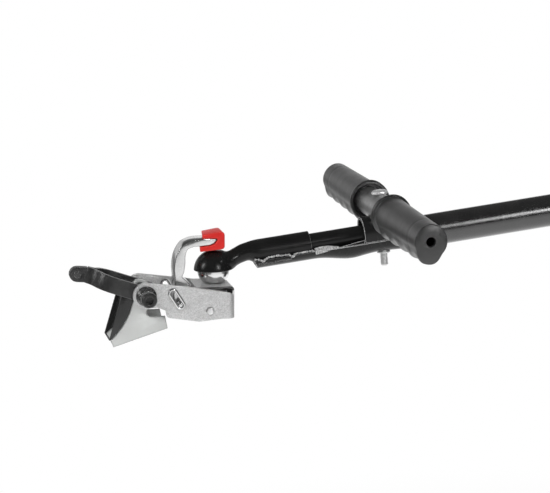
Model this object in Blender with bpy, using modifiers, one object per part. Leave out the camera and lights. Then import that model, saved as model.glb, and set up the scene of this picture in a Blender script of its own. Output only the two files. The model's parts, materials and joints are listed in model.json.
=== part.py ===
"""Bike cargo trailer with a seat post ball hitch, as separate pieces.

Sizes are in metres, +Z is up, +X points to the rear of the trailer and -Y is its left side.
The hitch is laid out from the centre of its ball and the frame from the ground. At the end the
whole trailer is moved, so that the origin lies on the ground under the middle of its box.
"""

import math

import bmesh
import bpy
from mathutils import Matrix, Vector

# Clearances
GAP = 0.0003
SOCKET_GAP = 0.0005
HOLE_GAP = 0.0003
SLIDE_GAP = 0.0004
WELD_LENGTH = 0.00001

# Roundness of turned pieces and of holes
FINE_SIDES = 32
TUBE_SIDES = 16
SMALL_SIDES = 12
CUP_SIDES = 20
ARC_STEPS = 7

# Ball and its stud
BALL_HEIGHT = 0.755
BALL_RADIUS = 0.0125
BALL_UNDERSIDE = -0.0086
STUD_SHOULDER_RADIUS = 0.0062
STUD_RADIUS = 0.004
BALL_NUT_RADIUS = 0.0076
BALL_NUT_HEIGHT = 0.0065
STUD_END = -0.0245

# Hitch channel: side plates, top plate and turned-down end, from the ball's centre
SIDE_PLATE_INSIDE = 0.0171
SIDE_PLATE_THICKNESS = 0.0035
TOP_PLATE_TOP = -0.0098
TOP_PLATE_THICKNESS = 0.004
TOP_PLATE_FRONT = -0.0164
END_WALL_REAR = 0.0132
END_WALL_THICKNESS = 0.005
END_BEND_RADIUS = 0.003
PLATE_LAP = 0.0003
LOBE_RADIUS = 0.010
LOBE_START = math.radians(82)
LOBE_END = math.radians(300)
END_CORNER = 5
SIDE_PLATE_EDGE = (
    (-0.0457, -0.0243),
    (-0.0409, -0.0262),
    (-0.0397, -0.0319),
    (-0.0148, -0.0361),
    (0.0041, -0.0341),
    (0.0086, -0.0348),
    (0.0080, -0.0165),
    (0.0072, -0.0146),
    (0.0054, -0.0134),
    (-0.0189, -0.0093),
)

# Slanted slots of the bail, with their chrome liners
SLOT_CENTRE = (-0.0324, -0.0175)
SLOT_TILT = math.radians(-58)
SLOT_LINER_LENGTH = 0.0184
SLOT_LINER_WIDTH = 0.0074
SLOT_LINER_WALL = 0.0018
SLOT_LINER_PROUD = 0.001

# Pin that anchors the bail's spring
SPRING_PIN_AT = (-0.0063, -0.0280)
SPRING_PIN_RADIUS = 0.0028
SPRING_PIN_PROUD = 0.0016

# Seat post clamp: its band lies across the leaning post, and its ears lie nearly level
POST_RADIUS = 0.0143
POST_LEAN = math.radians(16.5)
BAND_CENTRE = (-0.0784, -0.0066)
BAND_TILT = math.radians(19)
BAND_HEIGHT = 0.0124
BAND_THICKNESS = 0.0025
BAND_TAIL = 0.0325
EAR_BEND = 0.008
EAR_LENGTH = 0.0132
EAR_LAP = 0.0006
EAR_HEIGHT = 0.0119
EAR_TILT = math.radians(4.5)
EAR_RIVET_BACK = 0.0068
EAR_RIVET_RADIUS = 0.0022
EAR_RIVET_HEAD_RADIUS = 0.0031
EAR_RIVET_HEAD_HEIGHT = 0.0005

# Cross bolt behind the post
CROSS_BOLT_BACK = 0.0236
CROSS_BOLT_RADIUS = 0.004
CROSS_BOLT_HEAD_RADIUS = 0.0059
CROSS_BOLT_HEAD_LENGTH = 0.008
CROSS_BOLT_SOCKET_RADIUS = 0.0029
CROSS_BOLT_SOCKET_DEPTH = 0.0045
COLLAR_RADIUS = 0.0080
COLLAR_LENGTH = 0.009
COLLAR_GROOVES = 2
COLLAR_GROOVE_DEPTH = 0.0005
CROSS_NUT_RADIUS = 0.0075
CROSS_NUT_LENGTH = 0.0065

# Shoe on the post and brace plate, in the frame of the post: behind it and up along it
PAD_FRONT = 0.0065
PAD_HALF_WIDTH = 0.0139
PAD_BACK_TOP = (0.0146, 0.0030)
PAD_BACK_MIDDLE = (0.0161, -0.0155)
PAD_BACK_LOW = (0.0074, -0.0424)
WING_OUTSIDE = 0.0140
WING_THICKNESS = 0.002
WING_LOBE_RADIUS = 0.0076
WING_TIP = (0.0113, -0.0469)
WING_BOTTOM_REAR = (0.0481, -0.0223)
WING_TOP_REAR = (0.0400, -0.0069)
WING_EDGE_GAP = 0.0004
WEB_FRONT = 0.0165
WEB_INSET = 0.0005
BRACE_SLOT_FRONT = -0.0550
BRACE_SLOT_LENGTH = 0.024
BRACE_SLOT_TOP = -0.0252
BRACE_SLOT_HEIGHT = 0.0067

# Bail: a bent bar with a toe, from the ball's centre
BAIL_WIDTH = 0.018
BAIL_FOOT_RADIUS = 0.0042
BAIL_PIN_RADIUS = 0.0016
BAIL_EDGE_BEVEL = 0.0009
BAIL_OUTER = (
    (-0.0316, -0.0090),
    (-0.0313, 0.0080),
)
BAIL_OUTER_BEND = ((-0.0313, 0.0080), (-0.0264, 0.0226), (-0.0160, 0.0261))
BAIL_TIP = ((0.0008, 0.0262), (0.0012, 0.0256))
BAIL_UNDERSIDE = ((-0.0040, 0.0226), (-0.0124, 0.0210))
BAIL_INNER_BEND = ((-0.0172, 0.0204), (-0.0218, 0.0187), (-0.0241, 0.0135))
BAIL_INNER = (
    (-0.0242, 0.0077),
    (-0.0260, -0.0030),
    (-0.0186, -0.0096),
    (-0.0176, -0.0130),
    (-0.0240, -0.0176),
)

# Red cap folded round the bail's tip, from the ball's centre
CAP_WIDTH = 0.0196
CAP_GAP = 0.0003
CAP_OUTER = (
    (-0.0107, 0.0296),
    (0.0040, 0.0315),
    (0.0062, 0.0303),
    (0.0074, 0.0275),
    (0.0074, 0.0202),
    (0.0056, 0.0178),
    (-0.0121, 0.0163),
)
CAP_INNER_FRONT_LOW = (-0.0125, 0.0206)
CAP_INNER_FRONT_HIGH = (-0.0104, 0.0266)
CAP_EDGE_BEVEL = 0.0006

# Tension spring of the bail
SPRING_COIL_RADIUS = 0.0032
SPRING_WIRE_RADIUS = 0.00055
SPRING_TURNS = 7
SPRING_POINTS_PER_TURN = 8

# Drawbar front: heights are measured from the line through the ball along the drawbar
DRAWBAR_RISE = math.radians(7.1)
DRAWBAR_RADIUS = 0.0127
DRAWBAR_WALL = 0.0015
DRAWBAR_AXIS_HEIGHT = 0.0036
SLEEVE_AXIS_HEIGHT = 0.0087
SLEEVE_RADIUS = 0.0097
SLEEVE_END = 0.0777
SUPPORT_RADIUS = 0.0075
SUPPORT_WALL = 0.0015
SUPPORT_FRONT = 0.046
SUPPORT_REAR = 0.124
CUP_RADIUS = 0.0152
CUP_HEIGHT = 0.0158
CUP_RIM = -0.0004
TROUGH_FRONT = 0.0314
TROUGH_RAKE = 0.003
TROUGH_DROP_START = 0.080
TROUGH_DROP_END = 0.116
TROUGH_END = 0.152
PINCH_AT = 0.132
PINCH_DEPTH = 0.0027
PINCH_AHEAD = 0.030
PINCH_BEHIND = 0.045
ROUND_START = 0.176
BORE_START = 0.182
ARC_POINTS = TUBE_SIDES // 2

# Neck of the coupler: place, height of the middle, half width and half height
NECK_STATIONS = (
    (0.0050, 0.0074, 0.0125, 0.0075),
    (0.0085, 0.0072, 0.0112, 0.0073),
    (0.0104, 0.0068, 0.0103, 0.0067),
    (0.0122, 0.0066, 0.0094, 0.0062),
    (0.0142, 0.0067, 0.0086, 0.0062),
    (0.0162, 0.0071, 0.0080, 0.0066),
    (0.0185, 0.0078, 0.0075, 0.0068),
    (0.0210, 0.0087, 0.0074, 0.0069),
    (0.0235, 0.0095, 0.0076, 0.0070),
    (0.0285, 0.0103, 0.0084, 0.0071),
    (0.0330, 0.0093, 0.0092, 0.0088),
)
NECK_END = 0.037

# T-handle
HANDLE_AT = 0.1380
HANDLE_HEIGHT = 0.0274
HANDLE_BOLT_TILT = math.radians(2.5)
HANDLE_RADIUS = 0.0111
HANDLE_WALL = 0.0015
HANDLE_HALF_LENGTH = 0.146
SADDLE_FRONT = 0.1204
SADDLE_REAR = 0.153
SADDLE_HALF_WIDTH = 0.0120
SADDLE_THICKNESS = 0.0020
SADDLE_TOP = 0.0226
GRIP_INNER_END = 0.033
GRIP_LENGTH = 0.117
GRIP_RADIUS = 0.0136
GRIP_END_RADIUS = 0.0123
GRIP_CROWN = 0.0010
GRIP_FLANGE_RADIUS = 0.0163
GRIP_FLANGE_LENGTH = 0.0035
GRIP_END_ROUNDING = 0.0008
GRIP_RIDGE = 0.0045
GRIP_RIDGE_LOW = 0.0022
GRIP_RIDGE_HALF_WIDTH = 0.0028
GRIP_TURN = math.radians(13)
GRIP_BUMPS = 4
GRIP_HOLE_RADIUS = 0.0035
HANDLE_BOLT_RADIUS = 0.003
HANDLE_BOLT_END = -0.0186
HANDLE_BOLT_HEAD_LENGTH = 0.013
HANDLE_BOLT_HEAD_WIDTH = 0.009
HANDLE_BOLT_HEAD_HEIGHT = 0.0024
RIVET_NUT_RADIUS = 0.0042
RIVET_NUT_FLANGE_RADIUS = 0.0052
RIVET_NUT_FLANGE_HEIGHT = 0.0013
RIVET_NUT_TOP = -0.002

# Gooseneck over the bicycle's wheel
GOOSENECK_TOP_CORNER = 0.579
GOOSENECK_TOP_BEND = 0.150
GOOSENECK_FOOT = 0.135
GOOSENECK_LOW_BEND = 0.110
GOOSENECK_BEND_STEPS = 6
DRAWBAR_INSERT = 0.185

# Receiver and its clamp knob
RECEIVER_WALL = 0.0026
RECEIVER_OVERHANG = 0.060
KNOB_SETBACK = 0.025
KNOB_BOSS_RADIUS = 0.008
KNOB_BOSS_HEIGHT = 0.008
KNOB_STUD_RADIUS = 0.004
KNOB_RADIUS = 0.018
KNOB_HEIGHT = 0.014
KNOB_LOBES = 6
KNOB_LOBE_DEPTH = 0.003

# Frame
RAIL_RADIUS = 0.0127
RAIL_WALL = 0.0015
RAIL_Y = 0.150
FRAME_FRONT_SETBACK = 0.025
FRAME_REAR_OVERHANG = 0.010
FRAME_BEND = 0.060
FRAME_BEND_STEPS = 4
REAR_CROSS_SETBACK = 0.035
REFLECTOR_RADIUS = 0.022
REFLECTOR_THICKNESS = 0.008
REFLECTOR_PLUG = 0.012
AXLE_BEHIND_MIDDLE = 0.010
AXLE_TUBE_HALF_LENGTH = 0.225
BUSH_LENGTH = 0.030

# Tub
TUB_CENTRE = 1.120
TUB_FLOOR_HALF_LENGTH = 0.310
TUB_FLOOR_HALF_WIDTH = 0.185
TUB_DEPTH = 0.250
TUB_DRAFT = 0.10
TUB_WALL = 0.003
TUB_CORNER = 0.045
TUB_FLANGE = 0.014
TUB_LIP = 0.012
TUB_RIB_DEPTH = 0.005
TUB_RIB_WIDTH = 0.066
TUB_RIB_RAMP = 0.006
TUB_RIBS_LONG = 4
TUB_RIBS_SHORT = 2
TUB_RIB_BOTTOM = 0.030
TUB_RIB_TOP = 0.205
TUB_CORNER_STEPS = 2
TUB_BOLT_RADIUS = 0.003
TUB_BOLT_HEAD_RADIUS = 0.0055
TUB_BOLT_FROM_END = 0.090

# Parking stand
STAND_BRACKET_THICKNESS = 0.004
STAND_BRACKET_WIDTH = 0.028
STAND_EAR_INSIDE = 0.058
STAND_EAR_LENGTH = 0.054
STAND_PIVOT_DROP = 0.042
STAND_LEAN = math.radians(8)
STAND_LEG_RADIUS = 0.008
STAND_LEG_BEND = 0.028
STAND_LEG_ABOVE = 0.010
STAND_SHOE_RADIUS = 0.0105
STAND_SHOE_LENGTH = 0.030
STAND_ROD_RADIUS = 0.003
STAND_ROD_HEAD_RADIUS = 0.006
STAND_ROD_HEAD_HEIGHT = 0.0035

# Wheels, in a frame whose Z points outwards along the axle
WHEEL_RADIUS = 0.1995
AXLE_SHOULDER_LENGTH = 0.0104
TYRE_HALF_WIDTH = 0.0235
TYRE_WALL = 0.0038
TYRE_SHOULDER_WIDTH = 0.82
TYRE_SHOULDER_HEIGHT = 0.65
TREAD_HALF_WIDTH = 0.010
TREAD_DROP = 0.0018
RIM_SEAT_RADIUS = 0.1527
RIM_FLANGE_HEIGHT = 0.0058
RIM_FLANGE_THICKNESS = 0.002
RIM_HALF_WIDTH = 0.0159
RIM_DEPTH = 0.0127
HUB_HALF_LENGTH = 0.026
HUB_RADIUS = 0.0155
HUB_FLANGE_RADIUS = 0.029
HUB_FLANGE_AT = 0.020
HUB_FLANGE_THICKNESS = 0.003
HUB_BORE = 0.009
BEARING_RADIUS = 0.0135
BEARING_WIDTH = 0.0084
SPOKES = 20
SPOKE_RADIUS = 0.0012
SPOKE_LEAN = math.radians(28)
SPOKE_RIM_OFFSET = 0.004
AXLE_RADIUS = 0.006
AXLE_SHOULDER_RADIUS = 0.009
AXLE_HEAD_LENGTH = 0.006
AXLE_INSERT = 0.038
BUTTON_RADIUS = 0.004
BUTTON_CAP_RADIUS = 0.0065
BUTTON_CAP_HEIGHT = 0.0026
BUTTON_TRAVEL = 0.003
BUTTON_STEM = 0.0115

# The two sides of the trailer, seen in its direction of travel
SIDES = ((-1, "left"), (1, "right"))

# Turns that lay a piece made along Z, or drawn in the XY plane, into its place
ALONG_X = (0, math.radians(90), 0)
ALONG_Y = (math.radians(90), 0, 0)
UPRIGHT_FACING_X = (math.radians(90), 0, math.radians(90))

for old in list(bpy.data.objects):
    bpy.data.objects.remove(old, do_unlink=True)

trailer = bpy.data.collections.new("bike_cargo_trailer")
cutters = bpy.data.collections.new("cutters")
bpy.context.scene.collection.children.link(trailer)
bpy.context.scene.collection.children.link(cutters)


def finish(name, colour, roughness, metallic):
    """A Principled material of one colour."""
    material = bpy.data.materials.new(name)
    material.use_nodes = True
    shader = material.node_tree.nodes["Principled BSDF"]
    shader.inputs["Base Color"].default_value = (*colour, 1.0)
    shader.inputs["Roughness"].default_value = roughness
    shader.inputs["Metallic"].default_value = metallic
    return material


GALVANISED = finish("galvanised_steel", (0.56, 0.56, 0.55), 0.55, 0.9)
ZINC = finish("zinc_plated_steel", (0.68, 0.68, 0.67), 0.32, 1.0)
CHROME = finish("chrome", (0.80, 0.80, 0.80), 0.10, 1.0)
BLACK_STEEL = finish("black_steel", (0.035, 0.035, 0.035), 0.40, 0.3)
BLACK_GLOSS = finish("black_gloss_paint", (0.012, 0.012, 0.013), 0.22, 0.0)
HANDLE_GREY = finish("grey_handle_paint", (0.16, 0.16, 0.16), 0.35, 0.7)
RED = finish("red_plastic", (0.75, 0.03, 0.03), 0.35, 0.0)
RUBBER = finish("black_rubber", (0.030, 0.030, 0.030), 0.75, 0.0)
BLACK_PLASTIC = finish("black_plastic", (0.025, 0.025, 0.026), 0.50, 0.0)
ALUMINIUM = finish("aluminium", (0.72, 0.73, 0.74), 0.30, 1.0)
REFLECTOR = finish("red_reflector", (0.60, 0.01, 0.01), 0.15, 0.0)


def point(name, parent, location=(0, 0, 0), rotation=(0, 0, 0)):
    """An empty that other pieces are placed from."""
    place = bpy.data.objects.new(name, None)
    place.empty_display_size = 0.02
    place.parent = parent
    place.location = location
    place.rotation_euler = rotation
    trailer.objects.link(place)
    return place


def add(name, mesh, surface, parent, location=(0, 0, 0), rotation=(0, 0, 0)):
    """Put a mesh in the scene as a piece or, without a surface, as a cutter."""
    piece = bpy.data.objects.new(name, mesh)
    piece.parent = parent
    piece.location = location
    piece.rotation_euler = rotation
    if surface is None:
        cutters.objects.link(piece)
        piece.hide_render = True
        piece.display_type = "WIRE"
    else:
        trailer.objects.link(piece)
        mesh.materials.append(surface)
    return piece


def mesh_from(name, shape):
    """Turn a finished bmesh into a mesh with its faces pointing out."""
    bmesh.ops.recalc_face_normals(shape, faces=shape.faces)
    mesh = bpy.data.meshes.new(name)
    shape.to_mesh(mesh)
    shape.free()
    return mesh


def evaluated_mesh(piece):
    """The mesh of an object with its modifiers, or of a curve, in the object's own frame."""
    bpy.context.view_layer.update()
    depsgraph = bpy.context.evaluated_depsgraph_get()
    return bpy.data.meshes.new_from_object(piece.evaluated_get(depsgraph))


def solid_from_curve(name, curve):
    """A closed mesh from a curve, with its loose caps welded on."""
    guide = bpy.data.objects.new(name, curve)
    bpy.context.scene.collection.objects.link(guide)
    shape = bmesh.new()
    shape.from_mesh(evaluated_mesh(guide))
    bpy.data.objects.remove(guide)
    bmesh.ops.remove_doubles(shape, verts=shape.verts, dist=WELD_LENGTH)
    return mesh_from(name, shape)


def combine(piece, other, operation):
    """Cut another object from a piece, or fuse it on."""
    modifier = piece.modifiers.new(other.name, "BOOLEAN")
    modifier.operation = operation
    modifier.solver = "EXACT"
    modifier.object = other


def cut(piece, *others):
    for other in others:
        combine(piece, other, "DIFFERENCE")


def fuse(piece, *others):
    for other in others:
        combine(piece, other, "UNION")


def bevel(piece, width):
    modifier = piece.modifiers.new("rounded_edges", "BEVEL")
    modifier.width = width
    modifier.segments = 1
    modifier.limit_method = "ANGLE"
    modifier.angle_limit = math.radians(50)


def rod(name, radius, length, surface, parent, location, rotation=(0, 0, 0), sides=SMALL_SIDES):
    """A solid cylinder along Z, or a hexagon with six sides, centred on its location."""
    shape = bmesh.new()
    bmesh.ops.create_cone(
        shape, cap_ends=True, segments=sides, radius1=radius, radius2=radius, depth=length
    )
    return add(name, mesh_from(name, shape), surface, parent, location, rotation)


def turned(name, profile, surface, parent, location=(0, 0, 0), rotation=(0, 0, 0),
           sides=TUBE_SIDES, ring=False):
    """Turn a profile of (radius, height) round Z. A ring's profile closes on itself."""
    mesh = bpy.data.meshes.new(name)
    edges = [(i, i + 1) for i in range(len(profile) - 1)]
    if ring:
        edges.append((len(profile) - 1, 0))
    mesh.from_pydata([(radius, 0, height) for radius, height in profile], edges, [])
    piece = add(name, mesh, surface, parent, location, rotation)
    screw = piece.modifiers.new("turned", "SCREW")
    screw.axis = "Z"
    screw.angle = 2 * math.pi
    screw.steps = sides
    screw.render_steps = sides
    screw.use_merge_vertices = True
    screw.merge_threshold = WELD_LENGTH
    return piece


def pipe(name, outside, inside, length, surface, parent, location, rotation, sides=TUBE_SIDES):
    """A straight tube, open at both ends, centred on its location."""
    half = length / 2
    profile = [(outside, half), (outside, -half), (inside, -half), (inside, half)]
    return turned(name, profile, surface, parent, location, rotation, sides, ring=True)


def plate(name, outline, thickness, surface, parent, location=(0, 0, 0), rotation=(0, 0, 0),
          holes=()):
    """A flat plate of a drawn outline, with holes, centred in its thickness."""
    curve = bpy.data.curves.new(name, "CURVE")
    curve.dimensions = "2D"
    curve.fill_mode = "BOTH"
    curve.extrude = thickness / 2
    for border in (outline, *holes):
        spline = curve.splines.new("POLY")
        spline.points.add(len(border) - 1)
        for corner, (x, y) in zip(spline.points, border):
            corner.co = (x, y, 0, 1)
        spline.use_cyclic_u = True
    return add(name, solid_from_curve(name, curve), surface, parent, location, rotation)


def wire(name, path, radius, surface, parent, location=(0, 0, 0), rotation=(0, 0, 0),
         roundness=2):
    """A round bar or wire along a row of points."""
    curve = bpy.data.curves.new(name, "CURVE")
    curve.dimensions = "3D"
    curve.bevel_depth = radius
    curve.bevel_resolution = roundness
    curve.use_fill_caps = True
    spline = curve.splines.new("POLY")
    spline.points.add(len(path) - 1)
    for i, place in enumerate(path):
        spline.points[i].co = (*place, 1)
    return add(name, solid_from_curve(name, curve), surface, parent, location, rotation)


def skin(name, rings, surface, parent, location=(0, 0, 0), rotation=(0, 0, 0), bore=None,
         through=False):
    """A solid over a row of rings. A bore is a second row: it opens at the last ring, and at
    the first one too where it goes through."""
    shape = bmesh.new()

    def stretch(rows):
        for near, far in zip(rows, rows[1:]):
            for i in range(len(near)):
                j = (i + 1) % len(near)
                shape.faces.new((near[i], near[j], far[j], far[i]))

    outer = [[shape.verts.new(place) for place in ring] for ring in rings]
    inner = [[shape.verts.new(place) for place in ring] for ring in bore or ()]
    stretch(outer)
    stretch(inner)
    if through:
        stretch([outer[0], inner[0]])
    else:
        shape.faces.new(outer[0])
        shape.faces.new(inner[0] if inner else outer[-1])
    if inner:
        stretch([outer[-1], inner[-1]])
    return add(name, mesh_from(name, shape), surface, parent, location, rotation)


def spread(name, mesh, places):
    """Copies of a mesh at several places, in one mesh."""
    shape = bmesh.new()
    for place in places:
        copy = mesh.copy()
        copy.transform(place)
        shape.from_mesh(copy)
    return mesh_from(name, shape)


def arc(centre, radius, start, end, steps=ARC_STEPS):
    """Points along an arc, both ends included."""
    turns = [start + (end - start) * i / steps for i in range(steps + 1)]
    return [(centre[0] + radius * math.cos(t), centre[1] + radius * math.sin(t)) for t in turns]


def mirrored(profile):
    """A half profile from its top to the middle, with its mirror image below."""
    return profile + [(radius, -height) for radius, height in reversed(profile) if height > 0]


def circle(centre, radius, steps=SMALL_SIDES):
    return arc(centre, radius, 0, 2 * math.pi, steps)[:-1]


def oblong(centre, length, width, tilt=0.0, steps=6):
    """A slot's outline: two half circles, joined by straight sides."""
    half = (length - width) / 2
    ahead = (half * math.cos(tilt), half * math.sin(tilt))
    front = (centre[0] + ahead[0], centre[1] + ahead[1])
    back = (centre[0] - ahead[0], centre[1] - ahead[1])
    quarter = math.pi / 2
    return (arc(front, width / 2, tilt - quarter, tilt + quarter, steps)
            + arc(back, width / 2, tilt + quarter, tilt + 3 * quarter, steps))


def circle_through(a, b, c):
    """Centre and radius of the circle through three points."""
    ax, ay, bx, by, cx, cy = *a, *b, *c
    d = 2 * (ax * (by - cy) + bx * (cy - ay) + cx * (ay - by))
    a2, b2, c2 = ax * ax + ay * ay, bx * bx + by * by, cx * cx + cy * cy
    x = (a2 * (by - cy) + b2 * (cy - ay) + c2 * (ay - by)) / d
    y = (a2 * (cx - bx) + b2 * (ax - cx) + c2 * (bx - ax)) / d
    return (x, y), math.hypot(ax - x, ay - y)


def bend_through(a, b, c, offset=0.0, steps=ARC_STEPS):
    """Points along the arc from a to c by way of b, moved outwards by an offset."""
    centre, radius = circle_through(a, b, c)
    start = math.atan2(a[1] - centre[1], a[0] - centre[0])
    middle = (math.atan2(b[1] - centre[1], b[0] - centre[0]) - start) % (2 * math.pi)
    sweep = (math.atan2(c[1] - centre[1], c[0] - centre[0]) - start) % (2 * math.pi)
    if middle > sweep:
        sweep -= 2 * math.pi
    return arc(centre, radius + offset, start, start + sweep, steps)


origin = point("trailer_origin", None)
ball_centre = point("ball_centre", origin, (0, 0, BALL_HEIGHT))
drawbar_line = point("drawbar_line", ball_centre, rotation=(0, -DRAWBAR_RISE, 0))
post_line = point(
    "post_line", ball_centre, (BAND_CENTRE[0], 0, BAND_CENTRE[1]), (0, POST_LEAN, 0)
)
band_line = point(
    "band_line", ball_centre, (BAND_CENTRE[0], 0, BAND_CENTRE[1]), (0, BAND_TILT, 0)
)

SIDE_PLATE_OUTSIDE = SIDE_PLATE_INSIDE + SIDE_PLATE_THICKNESS
SIDE_PLATE_MIDDLE = SIDE_PLATE_INSIDE + SIDE_PLATE_THICKNESS / 2
CROSS_BOLT_AT = (
    BAND_CENTRE[0] + CROSS_BOLT_BACK * math.cos(BAND_TILT),
    BAND_CENTRE[1] - CROSS_BOLT_BACK * math.sin(BAND_TILT),
)
CROSS_BOLT_FROM_POST = (
    CROSS_BOLT_BACK * math.cos(BAND_TILT - POST_LEAN),
    -CROSS_BOLT_BACK * math.sin(BAND_TILT - POST_LEAN),
)
SLOT_ALONG = (math.cos(SLOT_TILT), math.sin(SLOT_TILT))
SLOT_INSIDE_LENGTH = SLOT_LINER_LENGTH - 2 * SLOT_LINER_WALL
SLOT_INSIDE_WIDTH = SLOT_LINER_WIDTH - 2 * SLOT_LINER_WALL
PIN_REST = SLOT_INSIDE_LENGTH / 2 - BAIL_PIN_RADIUS - GAP
BAIL_PIN_AT = (
    SLOT_CENTRE[0] + PIN_REST * SLOT_ALONG[0],
    SLOT_CENTRE[1] + PIN_REST * SLOT_ALONG[1],
)


def build_channel():
    """Side plates with lobes round the cross bolt, a top plate and a turned-down end."""
    edge = arc(CROSS_BOLT_AT, LOBE_RADIUS, LOBE_START, LOBE_END, 12) + list(SIDE_PLATE_EDGE)
    openings = (
        circle(CROSS_BOLT_AT, CROSS_BOLT_RADIUS + HOLE_GAP),
        circle(SPRING_PIN_AT, SPRING_PIN_RADIUS + HOLE_GAP),
        oblong(SLOT_CENTRE, SLOT_LINER_LENGTH + 2 * GAP, SLOT_LINER_WIDTH + 2 * GAP, SLOT_TILT),
    )
    bend = (END_WALL_REAR - END_BEND_RADIUS, TOP_PLATE_TOP - END_BEND_RADIUS)
    foot = SIDE_PLATE_EDGE[END_CORNER][1] - PLATE_LAP
    top = [(TOP_PLATE_FRONT, TOP_PLATE_TOP)]
    top += arc(bend, END_BEND_RADIUS, math.radians(90), 0, 4)
    top += [
        (END_WALL_REAR, foot),
        (END_WALL_REAR - END_WALL_THICKNESS, foot),
        (END_WALL_REAR - END_WALL_THICKNESS, TOP_PLATE_TOP - TOP_PLATE_THICKNESS),
        (TOP_PLATE_FRONT, TOP_PLATE_TOP - TOP_PLATE_THICKNESS),
    ]
    width = 2 * (SIDE_PLATE_INSIDE + PLATE_LAP)
    channel = plate("hitch_channel", top, width, GALVANISED, ball_centre, (0, 0, 0), ALONG_Y)
    for side, suffix in SIDES:
        fuse(channel, plate(
            "side_plate_" + suffix, edge, SIDE_PLATE_THICKNESS, None, ball_centre,
            (0, side * SIDE_PLATE_MIDDLE, 0), ALONG_Y, openings,
        ))
    stud_hole = rod(
        "stud_hole", STUD_RADIUS + HOLE_GAP, 4 * TOP_PLATE_THICKNESS, None, ball_centre,
        (0, 0, TOP_PLATE_TOP), sides=TUBE_SIDES,
    )
    cut(channel, stud_hole)


def build_ball():
    """Ball, shoulder and threaded stud in one, with the nut under the top plate."""
    flat = math.asin(BALL_UNDERSIDE / BALL_RADIUS)
    profile = arc((0, 0), BALL_RADIUS, math.radians(90), flat, 9)
    profile[0] = (0, BALL_RADIUS)
    shoulder_foot = TOP_PLATE_TOP + GAP
    profile += [
        (STUD_SHOULDER_RADIUS, BALL_UNDERSIDE - GAP),
        (STUD_SHOULDER_RADIUS, shoulder_foot),
        (STUD_RADIUS, shoulder_foot),
        (STUD_RADIUS, STUD_END),
        (0, STUD_END),
    ]
    turned("ball_stud", profile, CHROME, ball_centre)
    nut_top = TOP_PLATE_TOP - TOP_PLATE_THICKNESS - GAP
    nut = rod(
        "ball_nut", BALL_NUT_RADIUS, BALL_NUT_HEIGHT, ZINC, ball_centre,
        (0, 0, nut_top - BALL_NUT_HEIGHT / 2), sides=6,
    )
    cut(nut, rod(
        "ball_nut_hole", STUD_RADIUS + HOLE_GAP, 3 * BALL_NUT_HEIGHT, None, ball_centre,
        (0, 0, nut_top), sides=TUBE_SIDES,
    ))


def build_clamp_band(name, side):
    """Half of the strap: straight behind the post, round its side, and bent into the ear."""
    inner, outer = POST_RADIUS, POST_RADIUS + BAND_THICKNESS
    parting = GAP / 2
    bend_y = -(parting + BAND_THICKNESS + EAR_BEND)
    bend_x = -math.sqrt((outer + EAR_BEND) ** 2 - bend_y ** 2)
    bend = (bend_x, bend_y)
    leave = math.pi + math.atan2(bend_y, bend_x) % math.pi
    back = leave - math.pi
    quarter = math.radians(90)
    plan = [(BAND_TAIL, -inner)] + arc((0, 0), inner, 3 * quarter, leave)
    plan += arc(bend, EAR_BEND + BAND_THICKNESS, back, quarter, 4)
    plan += arc(bend, EAR_BEND, quarter, back, 4) + arc((0, 0), outer, leave, 3 * quarter)
    plan.append((BAND_TAIL, -outer))
    plan = [(x, -side * y) for x, y in plan]
    strap = plate(name, plan, BAND_HEIGHT, BLACK_STEEL, band_line)
    half = EAR_HEIGHT / 2
    ear = arc((half - EAR_LENGTH, 0), half, quarter, 3 * quarter)
    ear += [(EAR_LAP, -half), (EAR_LAP, half)]
    ear_hole = circle((-EAR_RIVET_BACK, 0), EAR_RIVET_RADIUS + HOLE_GAP)
    level = (quarter, EAR_TILT - BAND_TILT, 0)
    fuse(strap, plate(
        name + "_ear", ear, BAND_THICKNESS, None, band_line,
        (bend_x, side * (parting + BAND_THICKNESS / 2), 0), level, (ear_hole,),
    ))
    cut(strap, rod(
        name + "_hole", CROSS_BOLT_RADIUS + HOLE_GAP, 2 * POST_RADIUS, None, band_line,
        (CROSS_BOLT_BACK, side * outer, 0), ALONG_Y,
    ))
    return bend_x


def build_clamp():
    """Both halves of the band, with the rivet through their ears."""
    for side, suffix in SIDES:
        ear_root = build_clamp_band("clamp_band_" + suffix, side)
    tilt = EAR_TILT - BAND_TILT
    back = (-EAR_RIVET_BACK * math.cos(tilt), 0, EAR_RIVET_BACK * math.sin(tilt))
    under_head = GAP / 2 + BAND_THICKNESS + GAP
    head_top = under_head + EAR_RIVET_HEAD_HEIGHT
    face = EAR_RIVET_HEAD_RADIUS - EAR_RIVET_HEAD_HEIGHT
    turned("ear_rivet", mirrored([
        (0, head_top), (face, head_top), (EAR_RIVET_HEAD_RADIUS, under_head),
        (EAR_RIVET_RADIUS, under_head),
    ]), BLACK_STEEL, band_line, (ear_root + back[0], 0, back[2]), ALONG_Y, SMALL_SIDES)


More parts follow.
